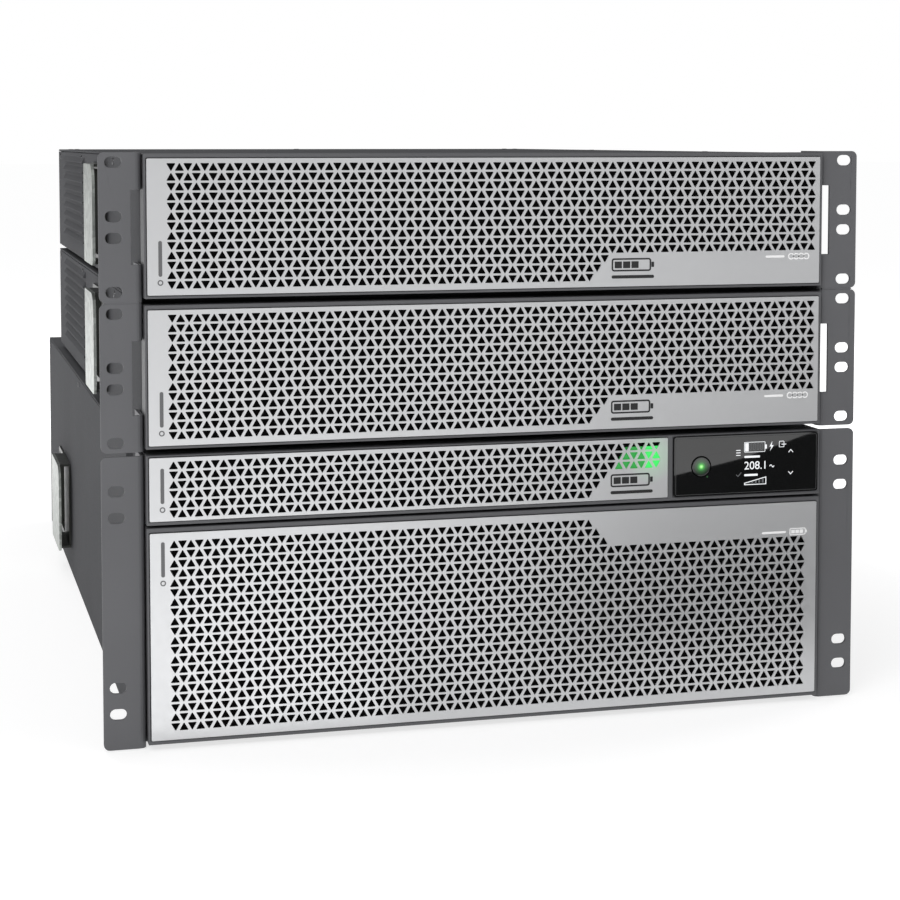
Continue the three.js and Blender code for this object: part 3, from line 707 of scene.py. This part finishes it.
def build_unit_marks():
    """A battery sign over a bar, low on the plate of each chassis."""
    plates = [(unit, unit + "_grille", 9.4) for unit in TRANSFORMERS]
    for unit, plate, rise in (*plates, ("ups", "ups_upper_grille", 8.0)):
        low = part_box(plate)[0]
        left, base = low.x + 287 * MM, low.z + rise * MM
        bm = bmesh.new()
        add_battery_symbol(bm, *span(left, base, 28, 8.2), 1.0 * MM, low.y, 4, 3)
        add_bar(bm, *span(left, base - 4.4 * MM, 28, 2), low.y)
        add_piece(unit + "_mark", bm, "mark_black")


def build_corner_marks():
    """A bar and a sign at the right end of the transformers' plates and of the battery plate."""
    for unit in TRANSFORMERS:
        low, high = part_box(unit + "_grille")
        bm = bmesh.new()
        middle = low.z + 17.2 * MM
        add_coil_symbol(bm, high.x - 21.5 * MM, middle, 2.1 * MM, 0.7 * MM, low.y)
        add_bar(bm, *span(high.x - 37 * MM, middle - 0.7 * MM, 13, 1.4), low.y)
        add_piece(unit + "_coil_mark", bm, "mark_white")
    low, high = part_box("battery_bezel_grille")
    bm = bmesh.new()
    right, middle = high.x - 6.5 * MM, high.z - 19 * MM
    add_battery_symbol(bm, *span(right - 12 * MM, middle - 2.3 * MM, 12, 4.6), 0.6 * MM, low.y, 3, 3)
    add_bar(bm, *span(right - 31 * MM, middle - 0.7 * MM, 16.5, 1.4), low.y)
    add_piece("battery_plate_mark", bm, "mark_white", "battery_bezel")


def build_edge_marks():
    """An upright bar over a small ring at the left end of every plate."""
    plates = [(unit, unit + "_grille", "root", 6) for unit in TRANSFORMERS]
    plates += [("ups", "ups_upper_grille", "root", 5.5)]
    plates += [("battery", "battery_bezel_grille", "battery_bezel", 93)]
    for prefix, plate, body, rise in plates:
        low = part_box(plate)[0]
        bm = bmesh.new()
        x, bottom = low.x + 7.6 * MM, low.z + rise * MM
        add_bar(bm, *span(x - 1.1 * MM, bottom + 5 * MM, 2.2, 21), low.y)
        add_flat_ring(bm, x, bottom + 1.4 * MM, (1.7 * MM, 1.0 * MM), low.y)
        add_piece(prefix + "_edge_mark", bm, "mark_grey", body)


# ---- display
def add_number(bm, text, x, z, height, y):
    """Digits whose lower left corner is at (x, z)."""
    curve = bpy.data.curves.new("digits", "FONT")
    curve.body = text
    curve.size = height * 1.37
    curve.extrude = 0.05 * MM
    digits = add_to_scene("digits", curve)
    bpy.context.view_layer.update()
    shaped = digits.evaluated_get(bpy.context.evaluated_depsgraph_get())
    part = bmesh.new()
    part.from_mesh(shaped.to_mesh())
    shaped.to_mesh_clear()
    bpy.data.objects.remove(digits)
    upright = Matrix.Translation((x, y - 0.06 * MM, z)) @ Matrix.Rotation(math.radians(90), 4, "X")
    bmesh.ops.transform(part, matrix=upright, verts=part.verts)
    merge_into(bm, part)


def build_display():
    """Symbols and digits on the glossy window, in millimetres from its lower left corner."""
    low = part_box("display_lens")[0]
    y = low.y

    def at(u, v):
        return low.x + u * MM, low.z + v * MM

    def box(u, v, width, height):
        return span(*at(u, v), width, height)

    bright, dim = bmesh.new(), bmesh.new()
    add_battery_symbol(bright, *box(47.3, 26.5, 15.5, 6.6), 0.32 * MM, y, 5, 1)
    for i in range(1, 5):
        add_outline(dim, *box(48.6 + i * 2.45, 27.8, 1.5, 4.4), 0.35 * MM, y)
    bolt = ((66.6, 33.2), (64.7, 29.7), (66.0, 29.7), (65.0, 26.8), (67.5, 30.5), (66.1, 30.5))
    add_decal(bright, [at(*point) for point in bolt], y)
    add_outline(bright, *box(71.2, 29.0, 3.6, 4.0), 0.35 * MM, y)
    add_bar(bright, *box(73.0, 30.6, 3.2, 0.5), y)
    for step in range(3):
        add_bar(bright, *box(41.8, 24.6 + step * 1.6, 3.0, 0.5), y)
    for v, width in ((23.0, 10.6), (11.3, 9.2)):
        add_bar(bright, *box(47.5, v, width, 1.3), y, radius=0.3 * MM)
    add_number(bright, "208.1", *at(47.3, 15.6), 5.3 * MM, y)
    wave = [at(65.0 + 0.35 * i, 17.2 + 0.75 * math.sin(i * math.pi / 4)) for i in range(9)]
    for start, end in zip(wave, wave[1:]):
        add_stroke(bright, start, end, 0.42 * MM, y)
    wedge = ((47.5, 5.6), (62.6, 5.6), (62.6, 10.6), (47.5, 7.0))
    inside = ((48.1, 6.05), (48.1, 6.65), (62.1, 10.0), (62.1, 6.05))
    outer, hole = ([at(*point) for point in loop] for loop in (wedge, inside))
    add_decal(bright, outer, y, [hole])
    for i in range(5):
        add_bar(dim, *box(50.0 + i * 2.4, 6.7, 1.2, 0.5 + i * 0.5), y, radius=0.1 * MM)
    for v, way in ((27.2, 1), (11.5, -1)):
        for side in (-1, 1):
            add_stroke(bright, at(79.4, v), at(79.4 + side * 1.4, v - way * 1.5), 0.45 * MM, y)
    tick = (42.2, 12.3), (43.2, 11.3), (45.3, 13.6)
    for start, end in zip(tick, tick[1:]):
        add_stroke(dim, at(*start), at(*end), 0.45 * MM, y)
    add_piece("display_symbols", bright, "display_white")
    add_piece("display_faint_symbols", dim, "display_dim")


def build_lens_details():
    """A line round the window, a ring round the power button and the pilot lamp beside it."""
    low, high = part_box("display_lens")

    def inset(by, radius):
        return rounded(low.x + by, high.x - by, low.z + by, high.z - by, radius)

    rim, ring, pilot = bmesh.new(), bmesh.new(), bmesh.new()
    add_decal(rim, inset(0.9 * MM, 1 * MM), low.y, [inset(1.18 * MM, 0.8 * MM)], 0.08 * MM)
    add_piece("display_rim", rim, "lens_rim")
    x, z = button_centre.x, button_centre.z
    radii = BUTTON_RADIUS + 0.7 * MM, BUTTON_RADIUS + 0.05 * MM
    add_flat_ring(ring, x, z, radii, low.y, 0.10 * MM, 48)
    add_piece("button_ring", ring, "shade_black")
    add_decal(pilot, circle(x + 4.2 * MM, z - 6.6 * MM, 0.6 * MM, 20), low.y, proud=0.10 * MM)
    add_piece("button_pilot", pilot, "pilot_green")


# ---- rear panels
FAN_SCREW = 35.75 * MM  # of each guard screw from the fan's axis, along both axes
GUARD_RINGS = (8, 16, 24, 32, 39)
GUARD_EYE = 3.2 * MM
WIRE = 0.8 * MM
SQUARE_OUTLETS = [(-65 + 42 * i) * MM for i in range(5)]
ROUND_OUTLETS = [(-6 + 44 * i) * MM for i in range(3)]
OUTLET_RELIEF = 1.3 * MM
THUMBSCREW = (  # radius and height of each ring, in millimetres
    *((4.2, 0), (4.2, 0.8), (3.2, 0.9), (3.2, 1.6)),
    *((4.6, 1.8), (4.6, 6.0), (4.1, 6.6), (1.2, 6.6), (1.1, 5.6)),
)


def add_ring(bm, place, radius, wire, sides=40, around=8):
    """A closed ring of round wire in the place's own XY plane."""
    rows = []
    for i in range(sides):
        turn = 2 * math.pi * i / sides
        row = []
        for j in range(around):
            tilt = 2 * math.pi * j / around
            reach = radius + wire * math.cos(tilt)
            point = Vector((reach * math.cos(turn), reach * math.sin(turn), wire * math.sin(tilt)))
            row.append(bm.verts.new(place @ point))
        rows.append(row)
    for row, following in zip(rows, rows[1:] + rows[:1]):
        for j in range(around):
            k = (j + 1) % around
            bm.faces.new((row[j], following[j], following[k], row[k]))


def add_rod(bm, start, end, radius, sides=8):
    along = end - start
    add_lathe(bm, [(radius, 0), (radius, along.length)], facing(start, along), sides)


def rear_of(node):
    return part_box(node)[1].y


def middle_of(node):
    low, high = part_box(node)
    return (low + high) / 2


def build_fan_guards():
    """A wire guard and four screws over each fan's opening in the rear wall."""
    fans = [("ups_1_fan", "ups_base_tray"), ("ups_2_fan", "ups_base_tray")]
    fans += [(unit + "_fan", unit + "_tray") for unit in TRANSFORMERS]
    for fan, tray in fans:
        centre = middle_of(fan + "_frame")
        centre.y = rear_of(tray)
        hub = centre + REAR * 1.1 * MM
        wires, screws = bmesh.new(), bmesh.new()
        for radius in GUARD_RINGS:
            add_ring(wires, facing(centre + REAR * 2.4 * MM, REAR), radius * MM, WIRE)
        for across in (-1, 1):
            for up in (-1, 1):
                corner = hub + Vector((across, 0, up)) * FAN_SCREW
                spoke = hub - corner
                add_rod(wires, corner + spoke.normalized() * GUARD_EYE, corner + spoke * 0.9, WIRE)
                add_ring(wires, facing(corner, REAR), GUARD_EYE, WIRE, sides=20)
                add_screw(screws, corner - REAR * 1.05 * MM, REAR, 3.1 * MM, 2.6 * MM)
        add_piece(fan + "_guard", wires, "bright_steel", smooth=True)
        add_piece(fan + "_guard_screws", screws, "screw_steel", smooth=True)


def inlet_shape(x, z, half_x, half_z, cut):
    """The usual inlet outline: a rectangle with its two upper corners cut, sizes in millimetres."""
    right = [(half_x, -half_z), (half_x, half_z - cut), (half_x - cut, half_z)]
    left = [(-u, v) for u, v in reversed(right)]
    return [(x + u * MM, z + v * MM) for u, v in (left[-1], *right, *left[:-1])]


def slot_at(x, z, half_x, half_z):
    return rounded_about(x, z, half_x, half_z, 0.4, steps=2)


def add_square_outlet(plastic, dark, x, y, z):
    """A ring, a moat and an island with three slots, on a receptacle's face."""
    face, depth = y + OUTLET_RELIEF, -OUTLET_RELIEF
    outer, shade_backing = rounded_about(x, z, 15.6, 14.6, 6), rounded_about(x, z, 14, 11, 2)
    add_plate(plastic, outer, face, depth, [inlet_shape(x, z, 12.4, 9, 4.4)])
    places = (-6.4, -0.6), (6.4, -0.6), (0, 2.8)
    slots = [slot_at(x + u * MM, z + v * MM, 1, 2.7) for u, v in places]
    add_plate(plastic, inlet_shape(x, z, 10.9, 7.5, 3.6), face, depth, slots)
    # near-black backing behind the slots, painted shade inside the receptacle
    add_decal(dark, shade_backing, y, (), 0.2 * MM, 0.15 * MM, REAR)


def arc_slot(x, z, radius, half_width, start, end, steps=8):
    """A slot that follows a circle between two angles in degrees."""
    turns = [math.radians(start + (end - start) * i / steps) for i in range(steps + 1)]
    outer, inner = (
        [(x + reach * math.cos(turn), z + reach * math.sin(turn)) for turn in turns]
        for reach in (radius + half_width, radius - half_width)
    )
    return outer + inner[::-1]


def add_round_outlet(plastic, dark, x, y, z):
    """A twist-lock receptacle: a ring and an island with three curved slots."""
    face, depth = y + OUTLET_RELIEF, -OUTLET_RELIEF
    outer, rim, island, shade_backing = (circle(x, z, radius * MM, 48) for radius in (18.8, 16.2, 15.2, 17))
    add_plate(plastic, outer, face, depth, [rim])
    slots = [arc_slot(x, z, 9.2 * MM, 1.1 * MM, turn - 24, turn + 24) for turn in (90, 210, 330)]
    add_plate(plastic, island, face, depth, slots)
    # near-black backing behind the slots, painted shade inside the receptacle
    add_decal(dark, shade_backing, y, (), 0.2 * MM, 0.15 * MM, REAR)


def build_outlet_row(panel, prefix, tray, add_outlet, places, proud):
    """Faces and openings of a row of outlets whose receptacles stand proud of the rear wall."""
    face, height = rear_of(tray) + proud, middle_of(panel).z
    plastic, dark = bmesh.new(), bmesh.new()
    for x in places:
        add_outlet(plastic, dark, x, face, height)
    add_piece(prefix + "_faces", plastic, "outlet_plastic")
    add_piece(prefix + "_sockets", dark, "shade_black")


def build_outlets():
    for unit in TRANSFORMERS:
        strip, tray = unit + "_outlet_strip", unit + "_tray"
        build_outlet_row(strip, strip, tray, add_square_outlet, SQUARE_OUTLETS, 4 * MM)
        corner_screws(strip + "_screws", strip, rear_of(tray) + PANEL, (3, 3), 2.2 * MM)
    panel, tray = "outlet_panel", "ups_base_tray"
    build_outlet_row(panel, "round_outlet", tray, add_round_outlet, ROUND_OUTLETS, 5 * MM)
    corner_screws(panel + "_screws", panel, rear_of(tray) + PANEL, (3.5, 3.5), 2.4 * MM)


def corner_screws(name, node, y, inset, radius, body="root", direction=REAR):
    """One screw at each corner of a node's face, inset by millimetres along x and z."""
    low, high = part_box(node)
    in_x, in_z = (length * MM for length in inset)
    bm = bmesh.new()
    for x in (low.x + in_x, high.x - in_x):
        for z in (low.z + in_z, high.z - in_z):
            add_screw(bm, Vector((x, y, z)), direction, radius)
    add_piece(name, bm, "screw_steel", body, smooth=True)


def add_switch_marks(bm, x, z, gap, y):
    """A bar over the ON side of a switch and a ring under its OFF side, on a rear face."""
    add_decal(bm, slot_at(x, z + gap, 0.5, 1.5), y, proud=0.1 * MM, side=REAR)
    add_flat_ring(bm, x, z - gap, (1.5 * MM, 1.0 * MM), y, 0.1 * MM, 20, REAR)


def build_switch_marks():
    bm = bmesh.new()
    switches = [
        (unit + "_breaker_rocker", unit + "_outlet_strip", unit + "_tray", 19.5 * MM, PANEL)
        for unit in TRANSFORMERS
    ]
    switches += [("breaker_lever", "outlet_panel", "ups_base_tray", 17.4 * MM, 3.5 * MM)]
    for switch, panel, tray, gap, proud in switches:
        add_switch_marks(bm, middle_of(switch).x, middle_of(panel).z, gap, rear_of(tray) + proud)
    add_piece("switch_marks", bm, "mark_white")


def build_network_card():
    """The jack's mouth, lamps, a second port, vents and two thumb screws on the card's bracket."""
    low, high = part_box("network_card")
    face = rear_of("ups_base_tray") + PANEL
    bottom = high.z - 46 * MM  # lower edge of the bracket
    jack_x, jack_z = low.x + 28 * MM, bottom + 17.5 * MM
    dark, steel, green, amber = (bmesh.new() for _ in range(4))

    def outline(u, v, half_u, half_v, radius):
        """A rounded rectangle in millimetres from the jack's centre."""
        return rounded_about(jack_x + u * MM, jack_z + v * MM, half_u, half_v, radius, steps=2)

    def flat(bm, u, v, half_u, half_v, base=0.0, proud=0.15, holes=()):
        """A small plate in millimetres, its seat at base from the bracket's face."""
        loop = outline(u, v, half_u, half_v, min(half_u, half_v) * 0.3)
        add_decal(bm, loop, face + base * MM, holes, proud * MM, proud * 0.9 * MM, REAR)

    flat(steel, 0, 0, 8.2, 7, 0.6, 0.7, [outline(0, -0.4, 5.8, 4, 0.5)])
    # the dark plates are painted shade inside the jack's mouth, the second port and the vents
    flat(dark, 0, -0.4, 6.4, 5, 0.6)
    flat(green, -4.6, 5.2, 1.3, 0.8, 1.3)
    flat(amber, 4.6, 5.2, 1.3, 0.8, 1.3)
    flat(steel, 22, -2, 6.8, 3.4, 0, 0.6, [outline(22, -2, 5.6, 2.3, 0.4)])
    flat(dark, 22, -2, 6, 2.6)
    for i in range(6):
        flat(dark, 52, -9 + i * 3.8, 13, 0.75)
    rings = [(radius * MM, height * MM) for radius, height in THUMBSCREW]
    for x in (low.x + 6.5 * MM, high.x - 6.5 * MM):
        add_lathe(steel, rings, facing(Vector((x, face, bottom + 23 * MM)), REAR), 28)
    add_piece("card_ports", steel, "bright_steel", "card", smooth=True)
    add_piece("card_openings", dark, "shade_black", "card")
    add_piece("card_lamp_green", green, "lamp_green", "card")
    add_piece("card_lamp_amber", amber, "lamp_amber", "card")


def build_terminal_cover():
    """Corner screws and two knockouts, each marked by two fine rings."""
    cover = "terminal_cover"
    low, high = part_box(cover)
    corner_screws(cover + "_screws", cover, rear_of("ups_base_tray") + PANEL, (4, 3.6), 2.8 * MM)
    rings = bmesh.new()
    middle = middle_of(cover).z
    for x in (low.x + 42 * MM, low.x + 96 * MM):
        for radius in (9.5, 15):
            radii = (radius + 0.35) * MM, (radius - 0.35) * MM
            add_flat_ring(rings, x, middle, radii, high.y, sides=48, side=REAR)
    add_piece(cover + "_knockouts", rings, "shade_black")


# ---- walls, covers and ears
LOUVRES = {"y": (17, 209), "first": 15, "pitch": 7.8, "count": 9, "height": 3.2}  # millimetres


def lip_sections(side, wall, bottom):
    """The (x, z) outlines of a louvre lip's slanting sheet and of its closed ends."""
    tall = LOUVRES["height"]
    sheet = [(0.03, tall + 1.4), (2.1, 0.9), (2.1, 0), (1.5, 0), (1.5, 0.6), (0.03, tall + 0.5)]
    end = [*sheet[:3], (0.03, 0)]
    return [[(side * (wall + u * MM), bottom + v * MM) for u, v in section] for section in (sheet, end)]


def build_louvre_lips():
    """A pressed lip over each louvre: a slanting sheet with two closed ends, open underneath."""
    y0, y1 = (y * MM for y in LOUVRES["y"])
    for unit in TRANSFORMERS:
        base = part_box(unit + "_grille")[0].z - 4.5 * MM
        wall = middle_of(unit + "_core").x + CHASSIS_HALF
        bm = bmesh.new()
        for side in (-1, 1):
            for i in range(LOUVRES["count"]):
                bottom = base + (LOUVRES["first"] + i * LOUVRES["pitch"]) * MM
                sheet, end = lip_sections(side, wall, bottom)
                add_plate(bm, sheet, y0, y1 - y0)
                add_plate(bm, end, y0 - 1 * MM, 1 * MM)
                add_plate(bm, end, y1, 1 * MM)
        add_piece(unit + "_louvre_lips", bm, "chassis_paint")


COVER_SCREW = 2.3 * MM
FLUSH = 0.25 * MM  # height of the countersunk heads on the covers
EAR_SCREW_HEIGHTS = {  # from an ear's lower edge, in millimetres
    "ups": (16, 60, 105, 160),
    "lower_transformer": (12, 76),
    "upper_transformer": (12, 76),
}


def build_cover_screws():
    """Screws that hold the covers to the trays, on the rear wall, the top and the sides."""
    covers = [(unit + "_top_cover", unit + "_tray") for unit in TRANSFORMERS]
    covers += [("ups_top_cover", "ups_base_tray")]
    for cover, tray in covers:
        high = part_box(cover)[1]
        rear = rear_of(tray)
        bm = bmesh.new()
        for x in (-200 * MM, 0.0, 200 * MM):
            add_screw(bm, Vector((x, rear, high.z - 5 * MM)), REAR, COVER_SCREW, 1.1 * MM)
            add_screw(bm, Vector((x, rear - 9 * MM, high.z)), UP, COVER_SCREW, FLUSH)
        for side in (-1, 1):
            for y in (-210 * MM, 40 * MM, rear - 22 * MM):
                wall = Vector((side * high.x, y, high.z - 6 * MM))
                add_screw(bm, wall, Vector((side, 0, 0)), COVER_SCREW, 0.9 * MM)
                if cover == "upper_transformer_top_cover":
                    add_screw(bm, Vector((side * (high.x - 9 * MM), y, high.z)), UP, COVER_SCREW, FLUSH)
        add_piece(cover + "_screws", bm, "screw_steel", smooth=True)


def build_ear_screws():
    """The screws that fix the ears' flanges to the side walls."""
    flange = CHASSIS_HALF + 0.6 * MM + PANEL
    for unit, heights in EAR_SCREW_HEIGHTS.items():
        bm = bmesh.new()
        for hand, side in (("left", -1), ("right", 1)):
            low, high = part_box(unit + "_ear_" + hand)
            for height in heights:
                seat = Vector((side * flange, high.y - 9 * MM, low.z + height * MM))
                add_screw(bm, seat, Vector((side, 0, 0)), 3.2 * MM, 1.5 * MM)
        add_piece(unit + "_ear_screws", bm, "screw_steel", smooth=True)


def cord_sections(width):
    """The cord over the ears' face, round their bend and along their flange.

    Each is (x0, x1, front, depth) in millimetres from an ear's corner.
    """
    return (2.0, width - 2.8, 0.15, 1.6), (0.9, 2.9, 1.3, 3.0), (0.1, 1.9, 4.0, 25.0)


def build_stack_seals():
    """A black foam strip between the fronts of the upper two chassis, near-black as painted shade in the
    gap, and a trim cord between their ears.
    """
    tray_low, tray_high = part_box("upper_transformer_tray")
    cover_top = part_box("lower_transformer_top_cover")[1].z + 0.1 * MM
    frame_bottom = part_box("upper_transformer_bezel_frame")[0].z - 0.5 * MM
    gap_strip = bmesh.new()
    sides = tray_low.x + 1 * MM, tray_high.x - 1 * MM
    strip = rounded(*sides, cover_top, frame_bottom, 0.6 * MM, steps=2)
    add_plate(gap_strip, strip, tray_low.y + 4 * MM, 12 * MM)
    add_piece("stack_gap_shade", gap_strip, "painted_gap_shade")
    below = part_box("lower_transformer_ear_right")[1]
    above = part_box("upper_transformer_ear_right")[0]
    slit = below.z + 0.04 * MM, above.z - 0.04 * MM
    cord = bmesh.new()
    for x0, x1, front, depth in cord_sections((below.x - above.x) / MM):
        for side in (-1, 1):
            ends = sorted(side * (above.x + x * MM) for x in (x0, x1))
            stretch = rounded(*ends, *slit, 0.4 * MM, steps=2)
            add_plate(cord, stretch, above.y + front * MM, depth * MM)
    add_piece("ear_trim_cord", cord, "ear_paint")


def build_pack_faces():
    """A plain label and four end-cap screws on the front of each battery pack."""
    for hand in ("left", "right"):
        pack, body = "battery_pack_" + hand, "battery_" + hand
        low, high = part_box(pack)
        middle = (low.x + high.x) / 2
        label, bars = bmesh.new(), bmesh.new()
        add_bar(label, *span(middle - 38 * MM, high.z - 30 * MM, 76, 21), low.y, radius=1.5 * MM)
        face = low.y - PROUD
        add_battery_symbol(bars, *span(middle - 33 * MM, high.z - 25 * MM, 24, 11), 0.8 * MM, face, 4, 4)
        for step, width in enumerate((34, 26, 30)):
            base = high.z - (15.5 + step * 4.2) * MM
            add_bar(bars, *span(middle - 2 * MM, base, width, 1.6), face)
        add_piece("pack_label_" + hand, label, "mark_white", body)
        add_piece("pack_label_bars_" + hand, bars, "mark_grey", body)
        corner_screws("pack_screws_" + hand, pack, low.y, (9, 9), 2.8 * MM, body, FRONT)


# ---- camera, light, floor
EYE = (-349.6 * MM, cad_box[0].y - 1191.5 * MM, 361.9 * MM)
LOOK_DOWN, LOOK_RIGHT = math.radians(3.643), math.radians(14.977)
FOCAL_LENGTH = 81.42  # in millimetres, with a sensor 36 mm wide
LENS_SHIFT = -0.2  # of the picture's width
BRIGHT_SIDE = Vector((-0.10, -0.80, 0.59))  # of the studio
CARD_HEIGHT = 0.4 * MM
FLOOR_HALF = 30
LAMPS = (  # name, place, target, size, power
    ("key", (-0.90, -1.50, 1.35), (-0.10, -0.35, 0.08), 0.8, 10.5),
    ("top", (0.0, -0.1, 2.2), (0.0, 0.0, 0.2), 1.8, 5),
    ("back", (-0.7, 2.2, 1.3), (0.0, 0.2, 0.15), 1.2, 24),
    ("right", (2.2, 0.9, 0.9), (0.1, 0.1, 0.15), 1.2, 22),
    ("left", (-2.2, 1.1, 0.9), (-0.1, 0.1, 0.15), 1.2, 5),
)


def build_camera():
    camera = add_to_scene("camera", bpy.data.cameras.new("camera"))
    bpy.context.scene.camera = camera
    camera.data.lens = FOCAL_LENGTH
    camera.data.shift_y = LENS_SHIFT
    camera.data.clip_end = 100
    camera.location = EYE
    camera.rotation_euler = (math.radians(90) - LOOK_DOWN, 0, -LOOK_RIGHT)


def add_sheet(name, corners, material, z=0.0):
    """A flat sheet with one material, at height z."""
    mesh = bpy.data.meshes.new(name)
    mesh.from_pydata([(x, y, z) for x, y in corners], [], [range(len(corners))])
    mesh.materials.append(material)
    sheet = add_to_scene(name, mesh)
    return sheet


def build_floor():
    """White paper, a little uneven, with painted light: it glows, dimmer near the object and full white
    away from it.
    """
    paper = finish(
        "floor_white", (0.45, 0.45, 0.453), 0.7, drift=0.004, drift_size=0.6, Specular_IOR_Level=0.0
    )
    tree = paper.node_tree
    levels = [(0.11, grey(0.60)), (0.25, grey(0.95)), (0.45, grey(0.90)), (0.7, grey(0.72))]
    emit(paper, ramp(tree, away_from(tree, (0.0, 0.0, 0.0), 4.0), levels), 1.15)
    corners = [(FLOOR_HALF * u, FLOOR_HALF * v) for u, v in ((-1, -1), (1, -1), (1, 1), (-1, 1))]
    add_sheet("floor", corners, paper).location.z = -0.2 * MM


def add_card(name, corners, material):
    """A card lying on the floor that is seen only in reflections."""
    card = add_sheet(name, corners, material, CARD_HEIGHT)
    for rays in ("camera", "diffuse", "shadow", "transmission", "volume_scatter"):
        setattr(card, "visible_" + rays, False)


def build_cards():
    """A black card in front of the display and a white one in front of the left half."""
    edge = [(0.747, -1.518), (0.565, -1.331), (0.448, -1.240), (0.30, -1.14)]
    black = [(0.06, -0.52), (0.94, -0.52), (1.45, -2.15), *edge]
    add_card("black_card", black, MATERIALS["shade_black"])
    white = glowing("white_card", (1.0, 1.0, 1.0), 1.65)
    white.cycles.emission_sampling = "NONE"  # so that it doesn't light the floor
    add_card("white_card", [(-0.80, -0.42), (-0.06, -0.42), (-0.02, -1.05), (-1.00, -1.05)], white)


def build_world():
    """A studio that the camera sees as plain white; its light is stronger from the front and above."""
    world = bpy.data.worlds.new("studio")
    bpy.context.scene.world = world
    world.use_nodes = True
    tree = world.node_tree
    background = tree.nodes["Background"]
    background.inputs["Color"].default_value = (1.0, 1.0, 1.0, 1.0)
    way = add_node(tree, "TexCoord").outputs["Generated"]
    toward = add_node(tree, "VectorMath", [(0, way)], operation="DOT_PRODUCT")
    toward.inputs[1].default_value = BRIGHT_SIDE.normalized()
    studio = remap(tree, toward.outputs["Value"], -0.6, 1.0, 0.18, 0.46)
    seen = add_node(tree, "LightPath").outputs["Is Camera Ray"]
    level = add_node(tree, "Mix", [("Factor", seen), ("A", studio)], B=1.0)
    tree.links.new(level.outputs["Result"], background.inputs["Strength"])


def build_lamps():
    for name, place, target, size, power in LAMPS:
        lamp = bpy.data.lights.new(name, "AREA")
        lamp.size = size
        lamp.energy = power
        light = add_to_scene(name, lamp)
        light.location = place
        light.rotation_euler = (Vector(target) - Vector(place)).to_track_quat("-Z", "Y").to_euler()
        light.visible_glossy = name == "key"


bpy.context.scene.view_settings.view_transform = "Standard"
build_camera()
build_floor()
build_cards()
build_world()
build_lamps()
finish_cad_nodes()
build_fronts()
build_unit_marks()
build_corner_marks()
build_edge_marks()
build_display()
build_lens_details()
build_fan_guards()
build_outlets()
build_switch_marks()
build_network_card()
build_terminal_cover()
build_louvre_lips()
build_cover_screws()
build_ear_screws()
build_stack_seals()
build_pack_faces()
